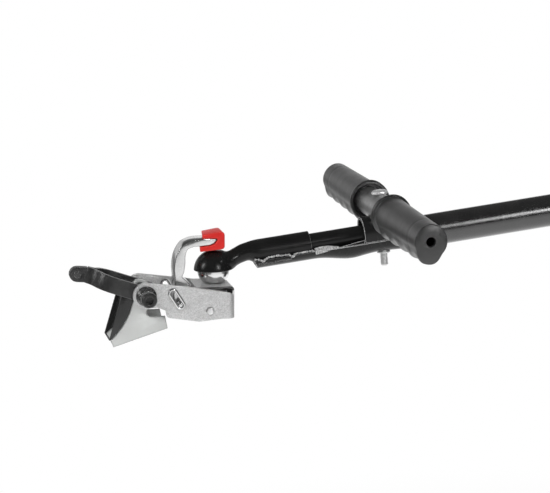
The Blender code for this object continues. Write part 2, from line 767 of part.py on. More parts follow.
def build_pad_and_brace():
    """The shoe behind the post, and the brace whose wings bear on its curved back."""
    pad_bottom = PAD_BACK_LOW[1] - GAP
    back = bend_through(PAD_BACK_TOP, PAD_BACK_MIDDLE, PAD_BACK_LOW)
    side_view = back + [(PAD_FRONT, pad_bottom), (PAD_FRONT, PAD_BACK_TOP[1])]
    pad = plate(
        "post_pad", side_view, 2 * PAD_HALF_WIDTH, BLACK_PLASTIC, post_line, (0, 0, 0), ALONG_Y
    )
    cut(pad, rod(
        "post_bore", POST_RADIUS, 6 * PAD_HALF_WIDTH, None, post_line,
        (0, 0, 0), sides=FINE_SIDES,
    ))
    front = bend_through(PAD_BACK_TOP, PAD_BACK_MIDDLE, PAD_BACK_LOW, WING_EDGE_GAP)[3:]
    lobe = arc(CROSS_BOLT_FROM_POST, WING_LOBE_RADIUS, math.radians(-40), math.radians(200))
    wing = lobe + front + [WING_TIP, WING_BOTTOM_REAR, WING_TOP_REAR]
    bolt_hole = circle(CROSS_BOLT_FROM_POST, CROSS_BOLT_RADIUS + HOLE_GAP)
    rise = math.atan2(WING_BOTTOM_REAR[1] - WING_TIP[1], WING_BOTTOM_REAR[0] - WING_TIP[0])
    lift = Vector((-math.sin(rise), math.cos(rise)))
    along = Vector((math.cos(rise), math.sin(rise)))
    start = Vector(WING_TIP) + along * (WEB_FRONT - WING_TIP[0]) + lift * WEB_INSET
    end = Vector(WING_BOTTOM_REAR) - along * WEB_INSET + lift * WEB_INSET
    web = [start, end, end + lift * WING_THICKNESS, start + lift * WING_THICKNESS]
    inside = WING_OUTSIDE - WING_THICKNESS
    brace = plate(
        "brace_plate", [tuple(corner) for corner in web], 2 * (inside + PLATE_LAP), ZINC,
        post_line, (0, 0, 0), ALONG_Y,
    )
    for side, suffix in SIDES:
        fuse(brace, plate(
            "wing_" + suffix, wing, WING_THICKNESS, None, post_line,
            (0, side * (WING_OUTSIDE - WING_THICKNESS / 2), 0), ALONG_Y, (bolt_hole,),
        ))
    slot = oblong(
        (BRACE_SLOT_FRONT + BRACE_SLOT_LENGTH / 2, BRACE_SLOT_TOP - BRACE_SLOT_HEIGHT / 2),
        BRACE_SLOT_LENGTH, BRACE_SLOT_HEIGHT,
    )
    cut(brace, plate(
        "brace_slot", slot, 4 * WING_OUTSIDE, None, ball_centre, (0, 0, 0), ALONG_Y
    ))


def build_cross_bolt():
    """Socket head bolt on the left, its ribbed collar, and the nut on the right."""
    collar_foot = SIDE_PLATE_OUTSIDE + GAP
    head_foot = collar_foot + COLLAR_LENGTH + GAP
    head_top = head_foot + CROSS_BOLT_HEAD_LENGTH
    nut_end = SIDE_PLATE_OUTSIDE + GAP + CROSS_NUT_LENGTH
    place = (CROSS_BOLT_AT[0], 0, CROSS_BOLT_AT[1])
    rounding = CROSS_BOLT_HEAD_LENGTH / 10
    bolt = turned("cross_bolt", [
        (0, head_top), (CROSS_BOLT_HEAD_RADIUS - rounding, head_top),
        (CROSS_BOLT_HEAD_RADIUS, head_top - rounding), (CROSS_BOLT_HEAD_RADIUS, head_foot),
        (CROSS_BOLT_RADIUS, head_foot), (CROSS_BOLT_RADIUS, -nut_end - GAP), (0, -nut_end - GAP),
    ], BLACK_STEEL, ball_centre, place, ALONG_Y)
    cut(bolt, rod(
        "hex_socket", CROSS_BOLT_SOCKET_RADIUS, 2 * CROSS_BOLT_SOCKET_DEPTH, None, ball_centre,
        (place[0], -head_top, place[2]), ALONG_Y, sides=6,
    ))
    pitch = COLLAR_LENGTH / (2 * COLLAR_GROOVES + 1)
    profile = []
    for i in range(2 * COLLAR_GROOVES + 1):
        radius = COLLAR_RADIUS - (COLLAR_GROOVE_DEPTH if i % 2 else 0)
        top = collar_foot + COLLAR_LENGTH - i * pitch
        profile += [(radius, top), (radius, top - pitch)]
    bore = CROSS_BOLT_RADIUS + HOLE_GAP
    profile += [(bore, collar_foot), (bore, collar_foot + COLLAR_LENGTH)]
    turned(
        "cross_bolt_collar", profile, BLACK_STEEL, ball_centre, place, ALONG_Y, ring=True
    )
    nut = rod(
        "cross_bolt_nut", CROSS_NUT_RADIUS, CROSS_NUT_LENGTH, ZINC, ball_centre,
        (place[0], SIDE_PLATE_OUTSIDE + GAP + CROSS_NUT_LENGTH / 2, place[2]), ALONG_Y, sides=6,
    )
    cut(nut, rod(
        "cross_nut_hole", bore, 4 * CROSS_NUT_LENGTH, None, ball_centre,
        (place[0], SIDE_PLATE_OUTSIDE, place[2]), ALONG_Y,
    ))


def build_bail():
    """Bent bar with its toe, red cap, foot pin, slot liners, spring pin and spring."""
    hinge = point("bail_hinge", ball_centre, (BAIL_PIN_AT[0], 0, BAIL_PIN_AT[1]))
    back = (-BAIL_PIN_AT[0], 0, -BAIL_PIN_AT[1])
    tip = list(BAIL_TIP)
    outline = arc(BAIL_PIN_AT, BAIL_FOOT_RADIUS, math.radians(20), math.radians(-200), 10)
    outline += [BAIL_OUTER[0]] + bend_through(*BAIL_OUTER_BEND) + tip
    outline += list(BAIL_UNDERSIDE) + bend_through(*BAIL_INNER_BEND, steps=5) + list(BAIL_INNER)
    pin_hole = circle(BAIL_PIN_AT, BAIL_PIN_RADIUS + HOLE_GAP)
    bail = plate(
        "bail", outline, BAIL_WIDTH, CHROME, hinge, back, ALONG_Y, (pin_hole,)
    )
    bevel(bail, BAIL_EDGE_BEVEL)

    inside = [CAP_INNER_FRONT_LOW]
    inside += [(x + CAP_GAP, z - CAP_GAP) for x, z in reversed(BAIL_UNDERSIDE)]
    inside += [(tip[1][0] + CAP_GAP, tip[1][1] - CAP_GAP), (tip[0][0] + CAP_GAP, tip[0][1] + CAP_GAP)]
    inside += [CAP_INNER_FRONT_HIGH]
    cap = plate(
        "bail_cap", list(CAP_OUTER) + inside, CAP_WIDTH, RED, hinge, back, ALONG_Y
    )
    bevel(cap, CAP_EDGE_BEVEL)

    liner_width = SIDE_PLATE_THICKNESS + SLOT_LINER_PROUD
    rod(
        "bail_pin", BAIL_PIN_RADIUS, 2 * (SIDE_PLATE_INSIDE + liner_width), CHROME, hinge,
        (0, 0, 0), ALONG_Y,
    )
    for side, suffix in SIDES:
        plate(
            "slot_liner_" + suffix,
            oblong(SLOT_CENTRE, SLOT_LINER_LENGTH, SLOT_LINER_WIDTH, SLOT_TILT),
            liner_width, CHROME, ball_centre,
            (0, side * (SIDE_PLATE_INSIDE + liner_width / 2), 0), ALONG_Y,
            (oblong(SLOT_CENTRE, SLOT_INSIDE_LENGTH, SLOT_INSIDE_WIDTH, SLOT_TILT),),
        )
    rod(
        "spring_pin", SPRING_PIN_RADIUS, 2 * (SIDE_PLATE_OUTSIDE + SPRING_PIN_PROUD), ZINC,
        ball_centre, (SPRING_PIN_AT[0], 0, SPRING_PIN_AT[1]), ALONG_Y,
    )
    build_bail_spring()


def build_bail_spring():
    """Tension coil from the bail's foot to the spring pin."""
    start = Vector((BAIL_PIN_AT[0], 0, BAIL_PIN_AT[1]))
    run = Vector((SPRING_PIN_AT[0], 0, SPRING_PIN_AT[1])) - start
    along = run.normalized()
    up = Vector((-along.z, 0, along.x))
    first = BAIL_FOOT_RADIUS + SPRING_WIRE_RADIUS + GAP
    last = run.length - SPRING_PIN_RADIUS - SPRING_WIRE_RADIUS - GAP
    count = SPRING_TURNS * SPRING_POINTS_PER_TURN
    path = []
    for i in range(count + 1):
        turn = 2 * math.pi * i / SPRING_POINTS_PER_TURN
        centre = start + along * (first + (last - first) * i / count)
        sideways = Vector((0, SPRING_COIL_RADIUS * math.sin(turn), 0))
        path.append(centre + up * SPRING_COIL_RADIUS * math.cos(turn) + sideways)
    least = min(
        (path[i] - path[j]).length
        for i in range(len(path))
        for j in range(i + SPRING_POINTS_PER_TURN // 2, len(path))
    )
    print("bail spring: least gap to itself", round(1000 * (least - 2 * SPRING_WIRE_RADIUS), 2), "mm")
    wire("bail_spring", path, SPRING_WIRE_RADIUS, ZINC, ball_centre, roundness=1)


def build_coupler():
    """Cup on the ball, narrow neck and sleeve, hollowed for the ball and the support tube."""
    cup = [
        (CUP_RADIUS * across, CUP_HEIGHT * up)
        for across, up in arc((0, 0), 1.0, math.radians(90), 0, 7)
    ]
    cup[0] = (0, CUP_HEIGHT)
    cup += [(CUP_RADIUS, CUP_RIM), (0, CUP_RIM)]
    coupler = turned(
        "coupler", cup, BLACK_GLOSS, drawbar_line, rotation=(0, DRAWBAR_RISE, 0), sides=CUP_SIDES
    )
    stations = list(NECK_STATIONS)
    for place in (NECK_END, SLEEVE_END):
        stations.append((place, SLEEVE_AXIS_HEIGHT, SLEEVE_RADIUS, SLEEVE_RADIUS))
    rings = []
    for along, height, half_width, half_height in stations:
        rings.append([
            Vector((along, half_width * x, height + half_height * z))
            for x, z in circle((0, 0), 1.0, TUBE_SIDES)
        ])
    fuse(coupler, skin("coupler_neck", rings, None, drawbar_line))
    shape = bmesh.new()
    bmesh.ops.create_uvsphere(
        shape, u_segments=TUBE_SIDES, v_segments=TUBE_SIDES // 2,
        radius=BALL_RADIUS + SOCKET_GAP,
    )
    socket = add(
        "ball_socket", mesh_from("ball_socket", shape), None, drawbar_line,
        rotation=(0, DRAWBAR_RISE, 0),
    )
    bore_front = SUPPORT_FRONT - GAP
    bore = rod(
        "sleeve_bore", SUPPORT_RADIUS + HOLE_GAP, 2 * (SLEEVE_END - bore_front), None,
        drawbar_line, (SLEEVE_END, 0, SLEEVE_AXIS_HEIGHT), ALONG_X,
        sides=TUBE_SIDES,
    )
    cut(coupler, socket, bore)
    pipe(
        "support_tube", SUPPORT_RADIUS, SUPPORT_RADIUS - SUPPORT_WALL,
        SUPPORT_REAR - SUPPORT_FRONT, BLACK_GLOSS, drawbar_line,
        ((SUPPORT_REAR + SUPPORT_FRONT) / 2, 0, SLEEVE_AXIS_HEIGHT), ALONG_X,
    )


def smooth(value):
    """Ease from 0 to 1."""
    value = min(max(value, 0.0), 1.0)
    return value * value * (3 - 2 * value)


def pinch(along):
    """How far the drawbar's underside is pressed up round the handle's bolt."""
    reach = PINCH_AHEAD if along < PINCH_AT else PINCH_BEHIND
    return PINCH_DEPTH * smooth(1 - abs(along - PINCH_AT) / reach)


def trough_section(centre, flip, end_share, press=0.0):
    """Section of the pressed drawbar as (sideways, up) from its axis.

    The lower arc stays round but for its pressed depth. The upper one lies in it as a trough
    at flip -1 and closes the tube to a full circle at flip 1. The rim of the trough lies at
    the height of the axis.
    """
    inside = SLEEVE_RADIUS + GAP
    radius = inside + (DRAWBAR_RADIUS - inside) * (flip + 1) / 2
    rim = math.asin(centre / DRAWBAR_RADIUS)
    lower = arc((0, 0), DRAWBAR_RADIUS, math.pi - rim, rim, ARC_POINTS)
    ring = [(y, centre - z) for y, z in lower]
    trough_end = math.asin(centre / inside)
    first = trough_end + (math.pi / ARC_POINTS - trough_end) * end_share
    upper = arc((0, 0), radius, first, math.pi - first, ARC_POINTS - 2)
    ring += [(y, centre + flip * z) for y, z in upper]
    flatten = 1 - press / DRAWBAR_RADIUS
    return [(y, up * flatten) for y, up in ring]


# The rivet nut's flange lies under the pressed drawbar, where the leaning bolt comes out
BOLT_EXIT = HANDLE_AT - (HANDLE_HEIGHT + DRAWBAR_RADIUS / 2) * math.sin(HANDLE_BOLT_TILT)
RIVET_NUT_UNDER = DRAWBAR_AXIS_HEIGHT - DRAWBAR_RADIUS + pinch(BOLT_EXIT) - GAP
bolt_line = point(
    "bolt_line", drawbar_line, (HANDLE_AT, 0, HANDLE_HEIGHT), (0, HANDLE_BOLT_TILT, 0)
)


def drawbar_rings():
    """Outer rings of the drawbar, from its pressed front to the end of the straight run."""
    rise = SLEEVE_AXIS_HEIGHT - DRAWBAR_AXIS_HEIGHT
    drop_steps = 4
    press_steps = 4
    stations = [(TROUGH_FRONT, rise, -1.0, 0.0)]
    for i in range(drop_steps + 1):
        share = i / drop_steps
        place = TROUGH_DROP_START + (TROUGH_DROP_END - TROUGH_DROP_START) * share
        stations.append((place, rise * (1 - smooth(share)), -1.0, 0.0))
    for share in (0.25, 0.5, 0.75):
        place = TROUGH_DROP_END + (TROUGH_END - TROUGH_DROP_END) * share
        stations.append((place, 0.0, -1.0, 0.0))
    for i in range(press_steps + 1):
        share = i / press_steps
        place = TROUGH_END + (ROUND_START - TROUGH_END) * share
        stations.append((place, 0.0, 2 * share - 1, share))
    rings = []
    for place, centre, flip, end_share in stations:
        section = trough_section(centre, flip, end_share, pinch(place))
        depth = DRAWBAR_RADIUS - centre
        rake = TROUGH_RAKE / depth if place == TROUGH_FRONT else 0.0
        rings.append([(place - rake * min(up, 0.0), y, up) for y, up in section])
    return rings


def on_drawbar(along, up):
    """A point of the drawbar's line, in the ball's upright frame, as (x, z)."""
    c, s = math.cos(DRAWBAR_RISE), math.sin(DRAWBAR_RISE)
    return Vector((along * c - up * s, along * s + up * c))


def bent_path(corners, radii, steps):
    """Points and directions along straight runs joined by arcs."""
    stops = [(corners[0], (corners[1] - corners[0]).normalized())]
    for i, radius in enumerate(radii):
        before, corner, after = corners[i], corners[i + 1], corners[i + 2]
        arrive = (corner - before).normalized()
        leave = (after - corner).normalized()
        turn = math.atan2(arrive.x * leave.y - arrive.y * leave.x, arrive.dot(leave))
        start = corner - arrive * radius * math.tan(abs(turn) / 2)
        side = math.copysign(1.0, turn)
        centre = start + Vector((-arrive.y, arrive.x)) * radius * side
        for j in range(steps + 1):
            turned_by = Matrix.Rotation(turn * j / steps, 2)
            stops.append((centre + turned_by @ (start - centre), turned_by @ arrive))
    stops.append((corners[-1], leave))
    return stops


def build_drawbar():
    """Main tube: pressed into a trough in front, bent over the wheel, open at its tail."""
    rings = []
    for ring in drawbar_rings():
        places = [on_drawbar(along, DRAWBAR_AXIS_HEIGHT + up) for along, y, up in ring]
        rings.append([Vector((p.x, y, p.y)) for p, (along, y, up) in zip(places, ring)])
    top_corner = on_drawbar(GOOSENECK_TOP_CORNER, DRAWBAR_AXIS_HEIGHT)
    corners = [
        on_drawbar(BORE_START, DRAWBAR_AXIS_HEIGHT),
        top_corner,
        Vector((GOOSENECK_LOW_X, RECEIVER_HEIGHT - BALL_HEIGHT)),
        Vector((DRAWBAR_TAIL, RECEIVER_HEIGHT - BALL_HEIGHT)),
    ]
    stops = bent_path(corners, (GOOSENECK_TOP_BEND, GOOSENECK_LOW_BEND), GOOSENECK_BEND_STEPS)
    bore = []
    for place, direction in stops:
        upward = Vector((-direction.y, direction.x))
        around = trough_section(0.0, 1.0, 1.0)
        rings.append(section_at(place, upward, around, 1.0))
        bore.append(section_at(place, upward, around, 1 - DRAWBAR_WALL / DRAWBAR_RADIUS))
    del rings[len(rings) - len(stops)]
    drawbar = skin("drawbar_tube", rings, BLACK_GLOSS, ball_centre, bore=bore)
    cut(drawbar, rod(
        "rivet_nut_hole", RIVET_NUT_RADIUS + HOLE_GAP, 2 * DRAWBAR_RADIUS, None, bolt_line,
        (0, 0, RIVET_NUT_UNDER - HANDLE_HEIGHT), sides=SMALL_SIDES,
    ))


def section_at(place, upward, section, scale):
    """A section set square on the drawbar's path."""
    ring = []
    for y, up in section:
        centre = place + upward * up * scale
        ring.append(Vector((centre.x, y * scale, centre.y)))
    return ring


def build_handle():
    """Saddle bracket, cross tube, grips, the long bolt and its rivet nut."""
    rim = DRAWBAR_AXIS_HEIGHT + GAP
    outer, inner = SADDLE_HALF_WIDTH, SADDLE_HALF_WIDTH - SADDLE_THICKNESS
    crown = (0, SADDLE_TOP - outer)
    arch = [(outer, rim)] + arc(crown, outer, 0, math.pi) + [(-outer, rim), (-inner, rim)]
    arch += arc(crown, inner, math.pi, 0) + [(inner, rim)]
    saddle = plate(
        "handle_saddle", arch, SADDLE_REAR - SADDLE_FRONT, BLACK_GLOSS, drawbar_line,
        ((SADDLE_FRONT + SADDLE_REAR) / 2, 0, 0), UPRIGHT_FACING_X,
    )
    cut(saddle, rod(
        "saddle_seat", HANDLE_RADIUS + GAP, 6 * outer, None, bolt_line, (0, 0, 0), ALONG_Y,
        sides=TUBE_SIDES,
    ))
    tube = pipe(
        "handle_tube", HANDLE_RADIUS, HANDLE_RADIUS - HANDLE_WALL, 2 * HANDLE_HALF_LENGTH,
        HANDLE_GREY, bolt_line, (0, 0, 0), ALONG_Y,
    )
    cut(tube, rod(
        "handle_bolt_hole", HANDLE_BOLT_RADIUS + HOLE_GAP, 4 * HANDLE_RADIUS, None, bolt_line,
        (0, 0, 0),
    ))
    head_foot = HANDLE_RADIUS + GAP
    head_middle = head_foot + HANDLE_BOLT_HEAD_HEIGHT / 2
    bolt_end = HANDLE_BOLT_END - HANDLE_HEIGHT
    bolt = rod(
        "handle_bolt", HANDLE_BOLT_RADIUS, head_middle - bolt_end, ZINC, bolt_line,
        (0, 0, (head_middle + bolt_end) / 2),
    )
    fuse(bolt, plate(
        "handle_bolt_head",
        oblong((0, 0), HANDLE_BOLT_HEAD_LENGTH, HANDLE_BOLT_HEAD_WIDTH),
        HANDLE_BOLT_HEAD_HEIGHT, None, bolt_line, (0, 0, head_middle),
    ))
    under = RIVET_NUT_UNDER - HANDLE_HEIGHT
    top = RIVET_NUT_TOP - HANDLE_HEIGHT
    bore = HANDLE_BOLT_RADIUS + HOLE_GAP
    turned("rivet_nut", [
        (RIVET_NUT_RADIUS, top), (RIVET_NUT_RADIUS, under), (RIVET_NUT_FLANGE_RADIUS, under),
        (RIVET_NUT_FLANGE_RADIUS, under - RIVET_NUT_FLANGE_HEIGHT),
        (bore, under - RIVET_NUT_FLANGE_HEIGHT), (bore, top),
    ], ZINC, bolt_line, (0, 0, 0), sides=SMALL_SIDES, ring=True)
    for side, suffix in SIDES:
        build_grip("grip_" + suffix, side)


def grip_section(radius, ridge):
    """A slightly high section with a blunt ridge under it, as (sideways, up)."""
    share = ridge / GRIP_RIDGE
    crown = GRIP_CROWN if ridge else 0.0
    ring = []
    for x, z in circle((0, 0), 1.0, TUBE_SIDES):
        if z < -math.cos(2.5 * math.pi / TUBE_SIDES):
            blunt = x * GRIP_RIDGE_HALF_WIDTH / math.sin(2 * math.pi / TUBE_SIDES)
            x = x * radius + (blunt - x * radius) * share
            z = z * radius - (radius + ridge + z * radius) * share
        else:
            x, z = x * radius, z * (radius + max(0.0, z) * crown)
        ring.append((x, z))
    return ring


def build_grip(name, side):
    """Rubber grip with an inner flange, finger bumps below and a hole in its end."""
    stations = [
        (0.0, GRIP_FLANGE_RADIUS, 0.0),
        (GRIP_FLANGE_LENGTH, GRIP_FLANGE_RADIUS, 0.0),
        (GRIP_FLANGE_LENGTH + 0.001, GRIP_RADIUS, GRIP_RIDGE_LOW),
    ]
    first = 3 * GRIP_FLANGE_LENGTH
    last = GRIP_LENGTH - GRIP_END_ROUNDING
    for i in range(2 * GRIP_BUMPS + 1):
        share = i / (2 * GRIP_BUMPS)
        radius = GRIP_RADIUS + (GRIP_END_RADIUS - GRIP_RADIUS) * share
        ridge = GRIP_RIDGE if i % 2 == 0 else GRIP_RIDGE_LOW
        stations.append((first + (last - first) * share, radius, ridge))
    stations.append((GRIP_LENGTH, GRIP_END_RADIUS - GRIP_END_ROUNDING, GRIP_RIDGE))
    rings = []
    for place, radius, ridge in reversed(stations):
        y = side * (GRIP_INNER_END + place)
        rings.append([Vector((x, y, z)) for x, z in grip_section(radius, ridge)])
    bore = []
    for y in (HANDLE_HALF_LENGTH + GAP, GRIP_INNER_END):
        bore.append([
            Vector((x, side * y, z))
            for x, z in circle((0, 0), HANDLE_RADIUS + HOLE_GAP, TUBE_SIDES)
        ])
    grip = skin(
        name, rings, RUBBER, bolt_line, (0, 0, 0), (0, GRIP_TURN, 0), bore=bore
    )
    end = GRIP_INNER_END + GRIP_LENGTH
    cut(grip, rod(
        name + "_hole", GRIP_HOLE_RADIUS, 4 * (end - HANDLE_HALF_LENGTH), None, bolt_line,
        (0, side * end, 0), ALONG_Y,
    ))


# The frame follows the tub, and the receiver and the gooseneck follow the frame
FRAME_FRONT = TUB_CENTRE - TUB_FLOOR_HALF_LENGTH + FRAME_FRONT_SETBACK
FRAME_REAR = TUB_CENTRE + TUB_FLOOR_HALF_LENGTH + FRAME_REAR_OVERHANG
REAR_CROSS_AT = FRAME_REAR - REAR_CROSS_SETBACK
AXLE_AT = TUB_CENTRE + AXLE_BEHIND_MIDDLE
RECEIVER_FRONT = FRAME_FRONT - RECEIVER_OVERHANG
KNOB_AT = RECEIVER_FRONT + KNOB_SETBACK
DRAWBAR_TAIL = RECEIVER_FRONT + DRAWBAR_INSERT
GOOSENECK_LOW_X = RECEIVER_FRONT - GOOSENECK_FOOT
WHEEL_Y = AXLE_TUBE_HALF_LENGTH + AXLE_SHOULDER_LENGTH + HUB_HALF_LENGTH + 2 * GAP
AXLE_HEIGHT = WHEEL_RADIUS * math.cos(math.pi / FINE_SIDES)
RAIL_HEIGHT = AXLE_HEIGHT + 2 * RAIL_RADIUS + GAP
STAND_BRACKET_TOP = RAIL_HEIGHT - RAIL_RADIUS - GAP
RECEIVER_INSIDE = DRAWBAR_RADIUS + SLIDE_GAP
RECEIVER_OUTSIDE = RECEIVER_INSIDE + RECEIVER_WALL
RECEIVER_HEIGHT = STAND_BRACKET_TOP - STAND_BRACKET_THICKNESS - GAP - RECEIVER_OUTSIDE
TUB_BOTTOM = RAIL_HEIGHT + RAIL_RADIUS + GAP
TUB_BOLT_ALONG = TUB_FLOOR_HALF_LENGTH - TUB_BOLT_FROM_END
TUB_BOLT_PLACES = [
    (TUB_CENTRE + along * TUB_BOLT_ALONG, side * RAIL_Y) for along in (-1, 1) for side in (-1, 1)
]


def build_receiver():
    """Receiver under the front cross tube, up to the axle tube, and the knob that clamps it."""
    rear = AXLE_AT - RAIL_RADIUS - GAP
    receiver = pipe(
        "receiver_tube", RECEIVER_OUTSIDE, RECEIVER_INSIDE, rear - RECEIVER_FRONT, BLACK_GLOSS,
        origin, ((rear + RECEIVER_FRONT) / 2, 0, RECEIVER_HEIGHT), ALONG_X,
    )
    boss_top = RECEIVER_HEIGHT - RECEIVER_OUTSIDE + RECEIVER_WALL / 2
    boss_foot = RECEIVER_HEIGHT - RECEIVER_OUTSIDE - KNOB_BOSS_HEIGHT
    fuse(receiver, rod(
        "knob_boss", KNOB_BOSS_RADIUS, boss_top - boss_foot, None, origin,
        (KNOB_AT, 0, (boss_top + boss_foot) / 2),
    ))
    cut(receiver, rod(
        "knob_hole", KNOB_STUD_RADIUS + HOLE_GAP, 4 * KNOB_BOSS_HEIGHT, None, origin,
        (KNOB_AT, 0, boss_foot),
    ))
    knob_top = boss_foot - GAP
    knob_axis = point("knob_axis", origin, (KNOB_AT, 0, knob_top))
    outline = []
    steps = 6 * KNOB_LOBES
    for i in range(steps):
        turn = 2 * math.pi * i / steps
        radius = KNOB_RADIUS - KNOB_LOBE_DEPTH * (0.5 - 0.5 * math.cos(KNOB_LOBES * turn))
        outline.append((radius * math.cos(turn), radius * math.sin(turn)))
    knob = plate(
        "clamp_knob", outline, KNOB_HEIGHT, BLACK_PLASTIC, knob_axis, (0, 0, -KNOB_HEIGHT / 2)
    )
    stud_top = RECEIVER_HEIGHT - DRAWBAR_RADIUS - GAP - knob_top
    fuse(knob, rod(
        "knob_stud", KNOB_STUD_RADIUS, stud_top + KNOB_HEIGHT / 2, None, knob_axis,
        (0, 0, (stud_top - KNOB_HEIGHT / 2) / 2),
    ))


def build_frame():
    """Tube bent round the front and both sides, rear cross tube and axle tube with bushes."""
    inside = RAIL_RADIUS - RAIL_WALL
    corners = [
        Vector((FRAME_REAR, -RAIL_Y)), Vector((FRAME_FRONT, -RAIL_Y)),
        Vector((FRAME_FRONT, RAIL_Y)), Vector((FRAME_REAR, RAIL_Y)),
    ]
    stops = bent_path(corners, (FRAME_BEND, FRAME_BEND), FRAME_BEND_STEPS)
    rings, bore = [], []
    for place, direction in stops:
        for row, radius in ((rings, RAIL_RADIUS), (bore, inside)):
            ring = []
            for across, up in circle((0, 0), radius, TUBE_SIDES):
                ring.append(Vector((
                    place.x - direction.y * across, place.y + direction.x * across,
                    RAIL_HEIGHT + up,
                )))
            row.append(ring)
    frame_tube = skin("frame_tube", rings, BLACK_GLOSS, origin, bore=bore, through=True)
    for i, (x, y) in enumerate(TUB_BOLT_PLACES):
        cut(frame_tube, rod(
            f"rail_hole_{i}", TUB_BOLT_RADIUS + HOLE_GAP, 2 * RAIL_RADIUS, None, origin,
            (x, y, RAIL_HEIGHT + RAIL_RADIUS),
        ))
    pipe(
        "rear_cross_tube", RAIL_RADIUS, inside, 2 * (RAIL_Y - RAIL_RADIUS - GAP), BLACK_GLOSS,
        origin, (REAR_CROSS_AT, 0, RAIL_HEIGHT), ALONG_Y,
    )
    pipe(
        "axle_tube", RAIL_RADIUS, inside, 2 * AXLE_TUBE_HALF_LENGTH, BLACK_GLOSS, origin,
        (AXLE_AT, 0, AXLE_HEIGHT), ALONG_Y,
    )
    for side, suffix in SIDES:
        bush_y = side * (AXLE_TUBE_HALF_LENGTH - BUSH_LENGTH / 2)
        pipe(
            "axle_bush_" + suffix, inside - GAP, AXLE_RADIUS + HOLE_GAP, BUSH_LENGTH,
            BLACK_PLASTIC, origin, (AXLE_AT, bush_y, AXLE_HEIGHT), ALONG_Y,
        )
        build_reflector("rear_reflector_" + suffix, side, inside - GAP)


def build_reflector(name, side, plug_radius):
    """Reflector whose plug closes the end of a side rail."""
    rounding = REFLECTOR_THICKNESS / 5
    top = GAP + REFLECTOR_THICKNESS
    turned(name, [
        (0, top), (REFLECTOR_RADIUS - rounding, top), (REFLECTOR_RADIUS, top - rounding),
        (REFLECTOR_RADIUS, GAP), (plug_radius, GAP), (plug_radius, -REFLECTOR_PLUG),
        (0, -REFLECTOR_PLUG),
    ], REFLECTOR, origin, (FRAME_REAR, side * RAIL_Y, RAIL_HEIGHT), ALONG_X)


def rib_offsets(half, count):
    """Places along one straight side of the tub, with the share of the rib's depth there."""
    pitch = 2 * half / count
    marks = []
    for i in range(count):
        centre = -half + pitch * (i + 0.5)
        edge = TUB_RIB_WIDTH / 2
        marks += [
            (centre - edge, 0.0), (centre - edge + TUB_RIB_RAMP, 1.0),
            (centre + edge - TUB_RIB_RAMP, 1.0), (centre + edge, 0.0),
        ]
    return marks


def tub_ring(grow, height, rib):
    """One level ring of the tub, grown outwards, with ribs standing out of it."""
    straight = (TUB_FLOOR_HALF_LENGTH - TUB_CORNER, TUB_FLOOR_HALF_WIDTH - TUB_CORNER)
    length, width = TUB_FLOOR_HALF_LENGTH + grow, TUB_FLOOR_HALF_WIDTH + grow
    long_marks = rib_offsets(straight[0], TUB_RIBS_LONG)
    short_marks = rib_offsets(straight[1], TUB_RIBS_SHORT)
    radius = TUB_CORNER + grow
    ring = []
    for quarter in range(4):
        if quarter % 2 == 0:
            marks, half, reach = short_marks, straight, length
        else:
            marks, half, reach = long_marks, straight[::-1], width
        turn = Matrix.Rotation(quarter * math.pi / 2, 2)
        side = [Vector((reach + rib * share, along)) for along, share in marks]
        corner = arc(half, radius, 0, math.pi / 2, TUB_CORNER_STEPS)
        ring += [turn @ place for place in side]
        ring += [turn @ Vector(place) for place in corner]
    return [Vector((place.x, place.y, height)) for place in ring]


def build_tub():
    """Ribbed plastic tub: rings up its outside, round the rim's lip and down its inside."""
    rim = TUB_DEPTH * TUB_DRAFT
    edge = rim + TUB_FLANGE
    low, high = TUB_RIB_BOTTOM * TUB_DRAFT, TUB_RIB_TOP * TUB_DRAFT
    rings = [
        tub_ring(0.0, 0.0, 0.0),
        tub_ring(low, TUB_RIB_BOTTOM, TUB_RIB_DEPTH),
        tub_ring(high, TUB_RIB_TOP, TUB_RIB_DEPTH),
        tub_ring(rim, TUB_DEPTH - TUB_WALL, 0.0),
        tub_ring(edge - TUB_WALL, TUB_DEPTH - TUB_WALL, 0.0),
        tub_ring(edge - TUB_WALL, TUB_DEPTH - TUB_LIP, 0.0),
        tub_ring(edge, TUB_DEPTH - TUB_LIP, 0.0),
        tub_ring(edge, TUB_DEPTH, 0.0),
        tub_ring(rim - TUB_WALL, TUB_DEPTH, 0.0),
        tub_ring(high - TUB_WALL, TUB_RIB_TOP, TUB_RIB_DEPTH),
        tub_ring(low - TUB_WALL, TUB_RIB_BOTTOM, TUB_RIB_DEPTH),
        tub_ring(-TUB_WALL, TUB_WALL, 0.0),
    ]
    tub = skin("tub", rings, BLACK_PLASTIC, origin, (TUB_CENTRE, 0, TUB_BOTTOM))
    for i, (x, y) in enumerate(TUB_BOLT_PLACES):
        cut(tub, turned(
            f"tub_hole_{i}", countersunk(HOLE_GAP, TUB_WALL), None, origin, (x, y, TUB_BOTTOM),
            sides=SMALL_SIDES,
        ))
        turned(
            f"tub_bolt_{i + 1}", countersunk(0.0, -GAP), ZINC, origin, (x, y, TUB_BOTTOM),
            sides=SMALL_SIDES,
        )


def countersunk(clearance, above):
    """Profile of a tub bolt whose flat head ends above or below the floor, or of its hole."""
    top = TUB_WALL + above
    face = TUB_WALL - GAP
    head, shank = TUB_BOLT_HEAD_RADIUS + clearance, TUB_BOLT_RADIUS + clearance
    upper = [(0, top), (head, top)] + ([(head, face)] if above > 0 else [])
    return upper + [(shank, face - (head - shank)), (shank, -RAIL_RADIUS), (0, -RAIL_RADIUS)]


